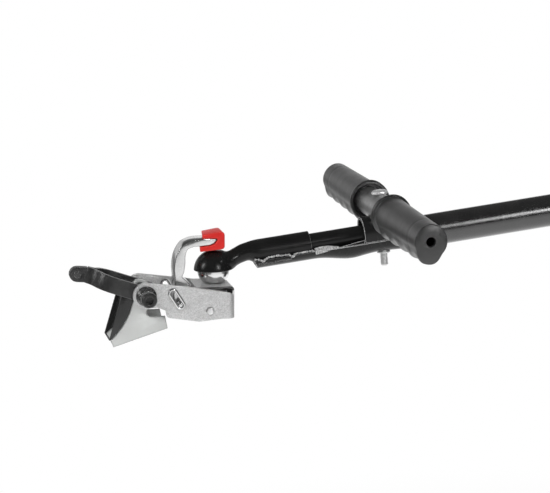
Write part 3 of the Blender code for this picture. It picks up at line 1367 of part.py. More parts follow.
def build_stand():
    """Bracket under the frame's front, a U-shaped leg, the rod it folds on and its shoe."""
    outside = STAND_EAR_INSIDE + STAND_BRACKET_THICKNESS
    under = -STAND_BRACKET_THICKNESS
    bracket = plate("stand_bracket", [
        (outside, 0), (-outside, 0), (-outside, -STAND_EAR_LENGTH),
        (-STAND_EAR_INSIDE, -STAND_EAR_LENGTH), (-STAND_EAR_INSIDE, under),
        (STAND_EAR_INSIDE, under), (STAND_EAR_INSIDE, -STAND_EAR_LENGTH),
        (outside, -STAND_EAR_LENGTH),
    ], STAND_BRACKET_WIDTH, BLACK_GLOSS, origin, (FRAME_FRONT, 0, STAND_BRACKET_TOP),
        UPRIGHT_FACING_X)
    pivot_height = STAND_BRACKET_TOP - STAND_PIVOT_DROP
    hinge = point(
        "stand_hinge", origin, (FRAME_FRONT, 0, pivot_height), (0, STAND_LEAN, 0)
    )
    rod_hole = rod(
        "stand_rod_hole", STAND_ROD_RADIUS + HOLE_GAP, 4 * STAND_EAR_INSIDE, None, hinge,
        (0, 0, 0), ALONG_Y,
    )
    leg_y = STAND_EAR_INSIDE - GAP - STAND_LEG_RADIUS
    drop = (pivot_height - STAND_SHOE_RADIUS) / math.cos(STAND_LEAN)
    bend = STAND_LEG_BEND
    left_low = arc((-leg_y + bend, -drop + bend), bend, math.pi, 1.5 * math.pi, 5)
    right_low = [(-y, z) for y, z in reversed(left_low)]
    route = [(-leg_y, STAND_LEG_ABOVE)] + left_low + right_low + [(leg_y, STAND_LEG_ABOVE)]
    leg = wire(
        "stand_leg", [(0, y, z) for y, z in route], STAND_LEG_RADIUS, BLACK_GLOSS, hinge
    )
    cut(bracket, rod_hole)
    cut(leg, rod_hole)
    pipe(
        "stand_shoe", STAND_SHOE_RADIUS, STAND_LEG_RADIUS + HOLE_GAP, STAND_SHOE_LENGTH, RUBBER,
        hinge, (0, 0, -drop), ALONG_Y,
    )
    head = outside + GAP
    turned("stand_rod", mirrored([
        (0, head + STAND_ROD_HEAD_HEIGHT), (STAND_ROD_HEAD_RADIUS, head + STAND_ROD_HEAD_HEIGHT),
        (STAND_ROD_HEAD_RADIUS, head), (STAND_ROD_RADIUS, head),
    ]), ZINC, origin, (FRAME_FRONT, 0, pivot_height), ALONG_Y, SMALL_SIDES)


def build_wheel(side, suffix):
    """Wheel with its axle and push button, in a frame whose Z points outwards."""
    outwards = (math.radians(-90 * side), 0, 0)
    hub_centre = point(
        "wheel_centre_" + suffix, origin, (AXLE_AT, side * WHEEL_Y, AXLE_HEIGHT), outwards
    )
    flat_below = (0, 0, math.pi / FINE_SIDES)
    bead = RIM_SEAT_RADIUS + GAP
    groove = RIM_HALF_WIDTH - RIM_FLANGE_THICKNESS - GAP
    middle = (bead + WHEEL_RADIUS) / 2
    width = TYRE_HALF_WIDTH
    outside = mirrored([
        (bead, groove), (bead + RIM_FLANGE_HEIGHT, groove),
        (bead + 2 * RIM_FLANGE_HEIGHT, TYRE_SHOULDER_WIDTH * width), (middle, width),
        (middle + TYRE_SHOULDER_HEIGHT * (WHEEL_RADIUS - middle), TYRE_SHOULDER_WIDTH * width),
        (WHEEL_RADIUS - TREAD_DROP, TREAD_HALF_WIDTH), (WHEEL_RADIUS, 0),
    ])
    hollow = width - TYRE_WALL
    inside = mirrored([
        (bead, groove - TYRE_WALL), (middle, hollow),
        (WHEEL_RADIUS - TYRE_WALL, hollow / 2),
    ])
    turned(
        "tyre_" + suffix, outside + inside[::-1], RUBBER, hub_centre, (0, 0, 0), flat_below,
        FINE_SIDES, ring=True,
    )
    flange = RIM_SEAT_RADIUS + RIM_FLANGE_HEIGHT
    well = RIM_HALF_WIDTH - RIM_FLANGE_THICKNESS
    inner = RIM_SEAT_RADIUS - RIM_DEPTH
    rim = mirrored([(flange, RIM_HALF_WIDTH), (flange, well), (RIM_SEAT_RADIUS, well)])
    rim += mirrored([(inner + RIM_DEPTH / 2, RIM_HALF_WIDTH), (inner, RIM_HALF_WIDTH / 2)])[::-1]
    turned(
        "rim_" + suffix, rim, ALUMINIUM, hub_centre, (0, 0, 0), flat_below, FINE_SIDES, ring=True
    )

    pocket = BEARING_RADIUS + GAP
    shelf = HUB_HALF_LENGTH - BEARING_WIDTH - 2 * GAP
    near, far = HUB_FLANGE_AT - HUB_FLANGE_THICKNESS / 2, HUB_FLANGE_AT + HUB_FLANGE_THICKNESS / 2
    hub = mirrored([
        (HUB_RADIUS, HUB_HALF_LENGTH), (HUB_RADIUS, far), (HUB_FLANGE_RADIUS, far),
        (HUB_FLANGE_RADIUS, near), (HUB_RADIUS, near),
    ])
    hub += mirrored([(pocket, HUB_HALF_LENGTH), (pocket, shelf), (HUB_BORE, shelf)])[::-1]
    shell = turned("hub_and_spokes_" + suffix, hub, ALUMINIUM, hub_centre, ring=True)
    fuse(shell, spokes(suffix, hub_centre, inner))
    for end, place in ((-1, "inner"), (1, "outer")):
        pipe(
            f"{place}_bearing_{suffix}", BEARING_RADIUS, AXLE_RADIUS + HOLE_GAP, BEARING_WIDTH,
            ZINC, hub_centre, (0, 0, end * (HUB_HALF_LENGTH - GAP - BEARING_WIDTH / 2)),
            (0, 0, 0),
        )
    build_axle(suffix, hub_centre)


def spokes(suffix, hub_centre, rim_inside):
    """Straight spokes that lean one way from the outer flange and the other from the inner."""
    start_radius = HUB_FLANGE_RADIUS - HUB_FLANGE_THICKNESS
    end_radius = rim_inside * math.cos(math.pi / FINE_SIDES) - 2 * GAP
    single = bmesh.new()
    bmesh.ops.create_cone(
        single, cap_ends=True, segments=4, radius1=SPOKE_RADIUS, radius2=SPOKE_RADIUS, depth=1.0
    )
    places = []
    for i in range(SPOKES):
        flange = 1 if i % 2 else -1
        turn = 2 * math.pi * i / SPOKES
        ahead = turn + flange * SPOKE_LEAN
        start = Vector((
            start_radius * math.cos(turn), start_radius * math.sin(turn), flange * HUB_FLANGE_AT
        ))
        end = Vector((
            end_radius * math.cos(ahead), end_radius * math.sin(ahead), flange * SPOKE_RIM_OFFSET
        ))
        run = end - start
        aim = run.to_track_quat("Z", "Y").to_matrix().to_4x4()
        stretch = Matrix.Diagonal((1, 1, run.length, 1))
        places.append(Matrix.Translation((start + end) / 2) @ aim @ stretch)
    name = "spokes_" + suffix
    return add(name, spread(name, mesh_from(name, single), places), None, hub_centre)


def build_axle(suffix, hub_centre):
    """Axle with a shoulder and a head, hollow at its outer end for the release button."""
    hub_end = HUB_HALF_LENGTH + GAP
    head = hub_end + AXLE_HEAD_LENGTH
    shoulder = -(WHEEL_Y - AXLE_TUBE_HALF_LENGTH - GAP)
    tail = -(WHEEL_Y - AXLE_TUBE_HALF_LENGTH + AXLE_INSERT)
    stem_foot = head + BUTTON_TRAVEL + GAP - BUTTON_STEM
    pocket = stem_foot - BUTTON_TRAVEL - GAP
    bore = BUTTON_RADIUS + HOLE_GAP
    turned("axle_" + suffix, [
        (0, pocket), (bore, pocket), (bore, head), (AXLE_SHOULDER_RADIUS, head),
        (AXLE_SHOULDER_RADIUS, hub_end), (AXLE_RADIUS, hub_end), (AXLE_RADIUS, -hub_end),
        (AXLE_SHOULDER_RADIUS, -hub_end), (AXLE_SHOULDER_RADIUS, shoulder),
        (AXLE_RADIUS, shoulder), (AXLE_RADIUS, tail), (0, tail),
    ], ZINC, hub_centre, sides=SMALL_SIDES)
    cap_foot = head + BUTTON_TRAVEL + GAP
    cap_top = cap_foot + BUTTON_CAP_HEIGHT
    rounding = BUTTON_CAP_HEIGHT / 3
    turned("button_" + suffix, [
        (0, cap_top), (BUTTON_CAP_RADIUS - rounding, cap_top),
        (BUTTON_CAP_RADIUS, cap_top - rounding), (BUTTON_CAP_RADIUS, cap_foot),
        (BUTTON_RADIUS, cap_foot), (BUTTON_RADIUS, stem_foot), (0, stem_foot),
    ], RED, hub_centre, sides=SMALL_SIDES)


def settle():
    """Move the trailer so that its box stands on the ground, centred on the origin."""
    bpy.context.view_layer.update()
    depsgraph = bpy.context.evaluated_depsgraph_get()
    corners = []
    for piece in trailer.objects:
        if piece.type == "MESH":
            solid = piece.evaluated_get(depsgraph)
            corners += [solid.matrix_world @ vertex.co for vertex in solid.data.vertices]
    low = [min(corner[i] for corner in corners) for i in range(3)]
    high = [max(corner[i] for corner in corners) for i in range(3)]
    origin.location = (-(low[0] + high[0]) / 2, -(low[1] + high[1]) / 2, -low[2])
    bpy.context.view_layer.update()
    print("box", [round(high[i] - low[i], 4) for i in range(3)])
    for place in trailer.objects:
        if place.type == "EMPTY":
            print(place.name, [round(value, 5) for value in place.matrix_world.translation])


build_channel()
build_ball()
build_clamp()
build_pad_and_brace()
build_cross_bolt()
build_bail()
build_coupler()
build_drawbar()
build_handle()
build_receiver()
build_frame()
build_tub()
build_stand()
for wheel_side, wheel_suffix in SIDES:
    build_wheel(wheel_side, wheel_suffix)
for piece in trailer.objects:
    if piece.type == "MESH":
        piece.data.shade_smooth()
        piece.data.set_sharp_from_angle(angle=math.radians(35))
settle()
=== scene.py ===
# %% [markdown]
# # A bike cargo trailer, dressed for its picture
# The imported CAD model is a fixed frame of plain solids. This lesson puts finely shaped pieces with
# real finishes over it, one step at a time. Sizes are in metres: +X is the trailer's rear, +Z is
# up and -Y is its left side. We load the frame first, so that each later piece can take its place
# from it.

# %% Load the frame
import math

import bmesh
import bpy
from mathutils import Matrix, Vector
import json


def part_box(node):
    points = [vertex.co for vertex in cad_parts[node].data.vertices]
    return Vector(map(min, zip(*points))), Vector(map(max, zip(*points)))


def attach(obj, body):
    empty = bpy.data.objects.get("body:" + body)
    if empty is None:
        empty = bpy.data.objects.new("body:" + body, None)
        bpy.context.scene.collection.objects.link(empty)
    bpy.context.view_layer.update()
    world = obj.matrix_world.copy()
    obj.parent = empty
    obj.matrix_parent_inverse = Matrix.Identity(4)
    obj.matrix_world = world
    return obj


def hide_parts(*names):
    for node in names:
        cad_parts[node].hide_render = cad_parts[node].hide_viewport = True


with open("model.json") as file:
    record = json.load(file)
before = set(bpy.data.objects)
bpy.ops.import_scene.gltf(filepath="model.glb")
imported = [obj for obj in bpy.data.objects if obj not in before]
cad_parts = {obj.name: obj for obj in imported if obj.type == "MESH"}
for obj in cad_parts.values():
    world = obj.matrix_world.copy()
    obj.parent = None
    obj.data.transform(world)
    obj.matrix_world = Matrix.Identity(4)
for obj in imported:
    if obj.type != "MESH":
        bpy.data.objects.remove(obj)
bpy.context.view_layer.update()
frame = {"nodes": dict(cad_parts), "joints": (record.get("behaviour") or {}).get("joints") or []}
JOINTS = {joint["name"]: joint for joint in frame["joints"]}
BALL = Vector(JOINTS["ball_pitch"]["pos_m"])

# %% [markdown]
# ## Where things are measured from
# The hitch is measured from the middle of its ball. The drawbar rises to the rear at a small angle,
# so its pieces get a frame that is turned by that angle, and the handle gets one that stands on it.
# A matrix for each lets us draw every piece square, as on a workbench, and move it into place
# afterwards. Pieces that touch keep the small gap that their solids have.

# %% The frames of the main pieces
DRAWBAR_RISE = math.radians(7.1)
BAND_TILT = math.radians(19)
BOLT_TILT = math.radians(2.5)
HANDLE_AT, HANDLE_HEIGHT = 0.1380, 0.0274
GAP = 0.0003


def moved(x, y, z):
    return Matrix.Translation((x, y, z))


def turned(degrees, axis):
    return Matrix.Rotation(math.radians(degrees), 4, axis)


HITCH = Matrix.Translation(BALL)
DRAWBAR = HITCH @ Matrix.Rotation(-DRAWBAR_RISE, 4, "Y")
HANDLE = DRAWBAR @ moved(HANDLE_AT, 0, HANDLE_HEIGHT) @ Matrix.Rotation(BOLT_TILT, 4, "Y")
ALONG_Y = turned(90, "X")
ALONG_X = turned(90, "Y")


def across_hitch(point):
    """The place of a shape whose axis lies across the hitch, at (along, up)."""
    return HITCH @ moved(point[0], 0, point[1]) @ ALONG_Y


print("ball at", tuple(round(v, 4) for v in BALL))

# %% [markdown]
# ## Camera
# The picture looks at the hitch from its left front, a little from above, through a long lens. The
# camera is built from two angles and a distance, because each of these can be fitted to the
# photograph by itself.

# %% Camera at the photograph's angle
CAMERA_YAW = math.radians(-11.7)
CAMERA_RISE = math.radians(10.7)
CAMERA_DISTANCE = 1.85
FOCAL_PIXELS = 2370
IMAGE_WIDTH = 550

target = BALL + Vector((0.0489, 0, 0.0167))
backwards = Vector((
    math.sin(CAMERA_YAW) * math.cos(CAMERA_RISE),
    -math.cos(CAMERA_YAW) * math.cos(CAMERA_RISE),
    math.sin(CAMERA_RISE),
))
sideways = Vector((math.cos(CAMERA_YAW), math.sin(CAMERA_YAW), 0))
camera_data = bpy.data.cameras.new("camera")
camera_data.sensor_width = 36
camera_data.lens = 36 * FOCAL_PIXELS / IMAGE_WIDTH
camera_data.clip_end = 60
camera = bpy.data.objects.new("camera", camera_data)
bpy.context.scene.collection.objects.link(camera)
camera.matrix_world = Matrix.Translation(target + backwards * CAMERA_DISTANCE) @ Matrix(
    (sideways, backwards.cross(sideways), backwards)
).transposed().to_4x4()
bpy.context.scene.camera = camera
print("lens", round(camera_data.lens, 1), "mm")

# %% [markdown]
# ## Studio
# A pale floor, a white surround and three large soft lamps make a plain product studio. The floor
# fades to white away from the trailer, so that the background is white without more light on the
# object. Chrome and gloss black are only as good as what they mirror, so mirrored rays alone see a
# studio with a layout: bright below the horizon and brightest on the near floor, dim overhead, a dark
# card at each side and two soft boxes. The lamps themselves are kept out of the mirror image.

# %% Helpers for objects and node trees
scene = bpy.context.scene
scene.view_settings.view_transform = "Standard"


def in_scene(name, data):
    made = bpy.data.objects.new(name, data)
    scene.collection.objects.link(made)
    return made


def as_mesh(name, shape):
    """A shape as a mesh. The shape itself is let go."""
    mesh = bpy.data.meshes.new(name)
    shape.to_mesh(mesh)
    shape.free()
    return mesh


def cleared(owner):
    """The empty node tree of a world or a material."""
    owner.use_nodes = True
    owner.node_tree.nodes.clear()
    return owner.node_tree


def link(tree, source, target_socket):
    tree.links.new(source, target_socket)


def fill(tree, sockets, values):
    """Link each socket to its value, or set it. A plain number in a colour's place is a grey."""
    for socket, value in zip(sockets, values):
        if isinstance(value, bpy.types.NodeSocket):
            tree.links.new(value, socket)
        elif socket.type == "RGBA" and isinstance(value, float):
            socket.default_value = (value, value, value, 1)
        else:
            socket.default_value = value


def place_node(tree, kind, settings=None, **values):
    """Add a node, set its properties, and fill or link its inputs by name."""
    made = tree.nodes.new(kind)
    for key, value in (settings or {}).items():
        setattr(made, key, value)
    for key, value in values.items():
        wanted = key.replace("_", " ")
        fill(tree, [next(s for s in made.inputs if s.name == wanted and s.enabled)], [value])
    return made


def arithmetic(tree, operation, first, second=0.5, third=0.5, clamp=False):
    made = tree.nodes.new("ShaderNodeMath")
    made.operation, made.use_clamp = operation, clamp
    fill(tree, made.inputs, (first, second, third))
    return made.outputs[0]


def vector_arithmetic(tree, operation, *values):
    """A sum or product of vectors, or a length or dot product, which is a number."""
    made = tree.nodes.new("ShaderNodeVectorMath")
    made.operation = operation
    fill(tree, made.inputs, values)
    return next(s for s in made.outputs if s.enabled)


def mixed_colour(tree, mask, first, second):
    """Mix two colours by a mask and give the colour out."""
    made = tree.nodes.new("ShaderNodeMix")
    made.data_type = "RGBA"
    fill(tree, (made.inputs[0], made.inputs[6], made.inputs[7]), (mask, first, second))
    return made.outputs[2]


def eased(tree, value, start, end, low, high):
    """A value that goes smoothly from low to high between start and end."""
    made = place_node(
        tree, "ShaderNodeMapRange", {"interpolation_type": "SMOOTHSTEP"}, Value=value,
        From_Min=start, From_Max=end, To_Min=low, To_Max=high,
    )
    return made.outputs[0]


print("view:", scene.view_settings.view_transform)

# %% The light that mirrors see


def mirrored_light(tree, direction):
    """How bright the studio is in a direction, for mirrored rays alone."""
    toward = place_node(tree, "ShaderNodeSeparateXYZ", Vector=direction).outputs
    behind = eased(tree, toward["Y"], -0.1, 0.5, 0.0, 1.0)
    raised = arithmetic(tree, "MULTIPLY_ADD", behind, -BACKDROP_RISE, toward["Z"])
    light = eased(tree, raised, HORIZON - 0.10, HORIZON, 1.0, OVERHEAD)
    light = arithmetic(tree, "MULTIPLY", light, eased(tree, toward["Z"], -0.42, -0.22, NEAR_FLOOR, 1.0))
    shallow = eased(tree, toward["Z"], -0.6, -0.3, 0.0, 1.0)
    across = arithmetic(tree, "MULTIPLY", toward["X"], shallow)
    back = arithmetic(tree, "MAXIMUM", toward["Y"], 0.0)
    leftwards = arithmetic(tree, "MULTIPLY_ADD", back, -0.35, across)
    left = eased(tree, leftwards, -0.55, -0.25, SIDE_CARD, 1.0)
    over_card = eased(tree, toward["Z"], -0.12, -0.02, 0.0, OVER_CARD)
    left = arithmetic(tree, "MAXIMUM", left, over_card)
    right = eased(tree, across, 0.65, 0.88, 1.0, SIDE_CARD)
    return arithmetic(tree, "MULTIPLY", light, arithmetic(tree, "MULTIPLY", left, right))


def soft_box(tree, direction, aim, size, strength):
    """A tall soft patch of light about a direction."""
    offset = vector_arithmetic(tree, "SUBTRACT", direction, aim)
    far = vector_arithmetic(tree, "LENGTH", vector_arithmetic(tree, "MULTIPLY", offset, (1, 1, 0.5)))
    return eased(tree, far, 0.5 * size, size, strength, 0.0)


def mirror_rays(tree):
    """Which rays the camera sees directly, and which come by way of a mirror or glass."""
    path = place_node(tree, "ShaderNodeLightPath").outputs
    mirrorlike = arithmetic(tree, "MAXIMUM", path["Is Glossy Ray"], path["Is Transmission Ray"])
    return path["Is Camera Ray"], mirrorlike


SIDE_CARD, OVER_CARD = 0.20, 0.65
HORIZON, OVERHEAD, NEAR_FLOOR, BACKDROP_RISE = -0.04, 0.12, 1.25, 0.36
FADE_FROM, FADE_TO = 1.0, 2.0
SOFT_BOXES = (((-0.893, -0.16, 0.42), 0.15, 14.0), ((0.339, -0.870, 0.356), 0.13, 18.0))

print("soft boxes:", len(SOFT_BOXES))

# %% Surround and floor
world = bpy.data.worlds.new("studio")
tree = cleared(world)
from_camera, mirrorlike = mirror_rays(tree)
direction = place_node(tree, "ShaderNodeTexCoord").outputs["Generated"]
mirror = mirrored_light(tree, direction)
for aim, size, strength in SOFT_BOXES:
    mirror = arithmetic(tree, "ADD", mirror, soft_box(tree, direction, aim, size, strength))
seen = mixed_colour(tree, mirrorlike, 0.56, mirror)
seen = mixed_colour(tree, from_camera, seen, 1.0)
surround = place_node(tree, "ShaderNodeBackground", Color=seen)
place_node(tree, "ShaderNodeOutputWorld", Surface=surround.outputs[0])
scene.world = world

floor_material = bpy.data.materials.new("pale floor")
tree = cleared(floor_material)
from_camera, mirrorlike = mirror_rays(tree)
place = place_node(tree, "ShaderNodeTexCoord").outputs["Object"]
fade = eased(tree, vector_arithmetic(tree, "LENGTH", place), FADE_FROM, FADE_TO, 0.0, 1.0)
bright = arithmetic(tree, "MAXIMUM", arithmetic(tree, "MULTIPLY", from_camera, fade), mirrorlike)
from_ball = vector_arithmetic(tree, "SUBTRACT", place, BALL)
mirror = mirrored_light(tree, vector_arithmetic(tree, "NORMALIZE", from_ball))
matt = place_node(tree, "ShaderNodeBsdfDiffuse", Color=0.86)
glow = place_node(tree, "ShaderNodeEmission", Color=mixed_colour(tree, mirrorlike, 1.0, mirror))
both = tree.nodes.new("ShaderNodeMixShader")
fill(tree, both.inputs, (bright, matt.outputs[0], glow.outputs[0]))
place_node(tree, "ShaderNodeOutputMaterial", Surface=both.outputs[0])

shape = bmesh.new()
bmesh.ops.create_circle(shape, cap_ends=True, segments=64, radius=12.0)
floor = in_scene("floor", as_mesh("floor", shape))
floor.data.materials.append(floor_material)
print("surround:", world.name, "floor:", floor_material.name)

# %% Lamps


def soft_lamp(name, place, aim, size, power):
    lamp = bpy.data.lights.new(name, "AREA")
    lamp.shape, lamp.size, lamp.energy = "SQUARE", size, power
    stand = in_scene(name, lamp)
    stand.visible_glossy = False
    facing = (Vector(place) - Vector(aim)).to_track_quat("Z", "Y")
    stand.matrix_world = Matrix.Translation(place) @ facing.to_matrix().to_4x4()


soft_lamp("key lamp", (-2.2, -2.4, 2.6), (-0.3, 0, 0.5), 1.6, 54)
soft_lamp("fill lamp", (2.6, -1.6, 2.0), (0.2, 0, 0.4), 2.0, 26)
soft_lamp("back lamp", (0.4, 3.0, 2.6), (0, 0, 0.4), 2.2, 34)

# %% [markdown]
# ## Effects that many finishes share
# Real surfaces are never one flat colour. Grain, an edge mask and dust are made once, as shader node
# groups with named inputs, and placed in each finish with its own values. The edge mask carries real
# edge wear in some finishes, a painted highlight along the edges in others, and painted shade along
# the edges in others still. A group gives out only masks and values: the shader itself stays in the finish.

# %% Group: cloudy grain


def effect_group(name, inputs):
    """Start a shader group with named number inputs and one output, Value."""
    group = bpy.data.node_groups.new(name, "ShaderNodeTree")
    for label, value in inputs.items():
        socket = group.interface.new_socket(label, in_out="INPUT", socket_type="NodeSocketFloat")
        socket.default_value = value
    group.interface.new_socket("Value", in_out="OUTPUT", socket_type="NodeSocketFloat")
    entry = group.nodes.new("NodeGroupInput")
    leave = group.nodes.new("NodeGroupOutput")
    return group, entry.outputs, leave.inputs


grain_group, given, result = effect_group("cloudy grain", {"Scale": 200, "Low": 0, "High": 1})
spot = place_node(grain_group, "ShaderNodeTexCoord")
cloud = place_node(
    grain_group, "ShaderNodeTexNoise", Vector=spot.outputs["Object"], Scale=given["Scale"],
    Detail=5.0, Roughness=0.6,
)
spread_out = place_node(
    grain_group, "ShaderNodeMapRange", Value=cloud.outputs[0],
    From_Min=0.3, From_Max=0.7, To_Min=given["Low"], To_Max=given["High"],
)
link(grain_group, spread_out.outputs[0], result["Value"])
print("group:", grain_group.name)

# %% Group: edge wear and painted edge light
edge_wear_and_light_group, given, result = effect_group("edge wear and painted edge light", {"Width": 0.001, "Amount": 0.5})
bent = place_node(edge_wear_and_light_group, "ShaderNodeBevel", {"samples": 4}, Radius=given["Width"])
flat = place_node(edge_wear_and_light_group, "ShaderNodeNewGeometry")
likeness = vector_arithmetic(edge_wear_and_light_group, "DOT_PRODUCT", bent.outputs[0], flat.outputs["Normal"])
sharp = arithmetic(edge_wear_and_light_group, "SUBTRACT", 1.0, likeness)
spot = place_node(edge_wear_and_light_group, "ShaderNodeTexCoord")
broken = place_node(
    edge_wear_and_light_group, "ShaderNodeTexNoise", Vector=spot.outputs["Object"], Scale=260.0, Detail=4.0
)
patchy = arithmetic(edge_wear_and_light_group, "MULTIPLY", sharp, broken.outputs[0])
patchy = arithmetic(edge_wear_and_light_group, "MULTIPLY", patchy, given["Amount"])
patchy = arithmetic(edge_wear_and_light_group, "MULTIPLY", patchy, 12.0, clamp=True)
link(edge_wear_and_light_group, patchy, result["Value"])
print("group:", edge_wear_and_light_group.name)

# %% Group: dust on upper faces
dust_group, given, result = effect_group("dust", {"Amount": 0.3, "Scale": 40})
facing = place_node(dust_group, "ShaderNodeNewGeometry")
upwards = place_node(dust_group, "ShaderNodeSeparateXYZ", Vector=facing.outputs["Normal"])
lying = place_node(
    dust_group, "ShaderNodeMapRange", Value=upwards.outputs["Z"], From_Min=0.2, From_Max=1.0
)
spot = place_node(dust_group, "ShaderNodeTexCoord")
drift = place_node(
    dust_group, "ShaderNodeTexNoise", Vector=spot.outputs["Object"], Scale=given["Scale"],
    Detail=8.0, Roughness=0.7,
)
speck = place_node(
    dust_group, "ShaderNodeMapRange", Value=drift.outputs[0], From_Min=0.42, From_Max=0.72
)
settled = arithmetic(dust_group, "MULTIPLY", lying.outputs[0], speck.outputs[0])
settled = arithmetic(dust_group, "MULTIPLY", settled, given["Amount"])
link(dust_group, settled, result["Value"])
print("group:", dust_group.name)

# %% [markdown]
# ## Finishes
# One function lays out the common part of a finish: two tones mixed by grain, an edge colour that is
# real wear in some finishes, a painted highlight along the edges in some and painted shade along them
# in others, dust on top, a roughness that wanders a little, and a fine bump. The values then make
# chrome, zinc, powder coat, rubber or moulded plastic of it.

# %% A finish from its values
FINISHES = {}


def effect(tree, group, **values):
    made = tree.nodes.new("ShaderNodeGroup")
    made.node_tree = group
    for label, value in values.items():
        made.inputs[label].default_value = value
    return made.outputs["Value"]


DUST_COLOUR = (0.30, 0.27, 0.23, 1)


def finish(name, dark, light, rough, metallic=0.0, grain=120, bump=0.05, bump_scale=900, edge_wear_and_light=0.0,
           edge_wear_and_light_colour=0.5, edge_wear_and_light_width=0.0008, dust=0.0, coat=0.0, sheen=0.0, specular=0.5):
    """A finish of two tones with grain, edge wear and painted edge light, dust and a fine bump."""
    material = bpy.data.materials.new(name)
    tree = cleared(material)
    clouds = effect(tree, grain_group, Scale=grain, Low=0, High=1)
    colour = mixed_colour(tree, clouds, dark, light)
    roughness = effect(tree, grain_group, Scale=grain * 2.3, Low=rough[0], High=rough[1])
    # Edge colour: real wear in some finishes, a painted edge highlight or painted edge shade in others.
    if edge_wear_and_light:
        edge = effect(tree, edge_wear_and_light_group, Width=edge_wear_and_light_width, Amount=edge_wear_and_light)
        colour = mixed_colour(tree, edge, colour, edge_wear_and_light_colour)
    if dust:
        lying = effect(tree, dust_group, Amount=dust, Scale=35)
        colour = mixed_colour(tree, lying, colour, DUST_COLOUR)
        roughness = arithmetic(tree, "ADD", roughness, lying, clamp=True)
    fine = effect(tree, grain_group, Scale=bump_scale, Low=0, High=1)
    relief = place_node(tree, "ShaderNodeBump", Strength=bump, Distance=0.0004, Height=fine)
    shader = place_node(
        tree, "ShaderNodeBsdfPrincipled", Base_Color=colour, Roughness=roughness, Metallic=metallic,
        Normal=relief.outputs[0], Coat_Weight=coat, Coat_Roughness=0.08, Sheen_Weight=sheen,
        Specular_IOR_Level=specular,
    )
    place_node(tree, "ShaderNodeOutputMaterial", Surface=shader.outputs[0])
    FINISHES[name] = (tree, shader, colour, relief)
    return material


CHROME = finish("chrome", 0.56, 0.72, (0.08, 0.17), 1.0, grain=60, bump=0.02,
                bump_scale=300)
# The bail's near-black edge colour is a painted dark reflection along its rounded edges.
BAIL_CHROME = finish("bent chrome", 0.56, 0.70, (0.10, 0.20), 1.0, grain=60, bump=0.03,
                     bump_scale=250, edge_wear_and_light=1.0, edge_wear_and_light_colour=0.04, edge_wear_and_light_width=0.0013)
# The brace's near-black edge colour is painted shade along its cut edges and the slot's rim.
ZINC = finish("zinc plate", (0.56, 0.57, 0.56, 1), (0.61, 0.62, 0.61, 1), (0.46, 0.54), 0.35,
              grain=45, bump=0.05, bump_scale=1400, edge_wear_and_light=1.0, edge_wear_and_light_colour=0.04,
              edge_wear_and_light_width=0.0015)
BOLT_ZINC = finish("bright bolts", 0.62, 0.76, (0.28, 0.40), 0.6, grain=200, bump=0.05)
BLACK_GLOSS = finish("black powder coat", 0.006, 0.012, (0.15, 0.24), grain=70,
                     bump=0.04, bump_scale=500, edge_wear_and_light=0.10, edge_wear_and_light_colour=0.10, dust=0.02,
                     coat=0.3, specular=0.95)
COUPLER_BLACK = finish("coupler black", 0.007, 0.011, (0.20, 0.27), grain=60,
                       bump=0.02, bump_scale=350, edge_wear_and_light=0.4, edge_wear_and_light_colour=0.24, dust=0.01,
                       specular=0.22)
BLACK_SATIN = finish("black oxide", 0.032, 0.060, (0.36, 0.5), 0.25, grain=160,
                     bump=0.10, bump_scale=1200, edge_wear_and_light=0.3, edge_wear_and_light_colour=0.25)
BAND_BLACK = finish("strap black", 0.018, 0.034, (0.28, 0.40), 0.15, grain=160,
                    bump=0.08, bump_scale=1200, edge_wear_and_light=0.6, edge_wear_and_light_colour=0.22)
BOLT_BLACK = finish("oiled black", 0.010, 0.018, (0.14, 0.24), 0.2, grain=200,
                    bump=0.03, edge_wear_and_light=0.7, edge_wear_and_light_colour=0.28, edge_wear_and_light_width=0.0005)
# The pale edge colour on the collar is a painted highlight along its ribs.
COLLAR_GREY = finish("dark steel", 0.03, 0.08, (0.20, 0.30), 0.8, grain=300,
                     bump=0.05, edge_wear_and_light=1.0, edge_wear_and_light_colour=0.75, edge_wear_and_light_width=0.0005)
# Grains of near white on the weld beads are painted glints.
WELD_PAINTED_GLINTS = finish("weld with painted glints", 0.25, 1.0, (0.16, 0.30), 0.4, grain=500,
                     bump=0.3, bump_scale=900)
# The pale speckle on the ground filler is partly its bare ground metal and partly a painted highlight on
# the trough floor.
GROUND_WELD_WITH_PAINTED_HIGHLIGHT = finish("ground weld with painted highlight", 0.10, 0.95, (0.35, 0.50), 0.25, grain=900,
                   bump=0.7, bump_scale=1100)
# Black with a near-white edge colour: a painted highlight along the trough's rims, the saddle's edges and
# the lip.
RIM_HIGHLIGHT_BLACK = finish("black with painted rim highlight", 0.008, 0.012, (0.2, 0.3), grain=90, bump=0.03,
                    edge_wear_and_light=1.0, edge_wear_and_light_colour=0.85, edge_wear_and_light_width=0.0009, specular=0.25)
HANDLE_GREY = finish("handle grey", 0.26, 0.36, (0.25, 0.4), 0.85, grain=150, bump=0.05,
                     edge_wear_and_light=0.3, edge_wear_and_light_colour=0.6)
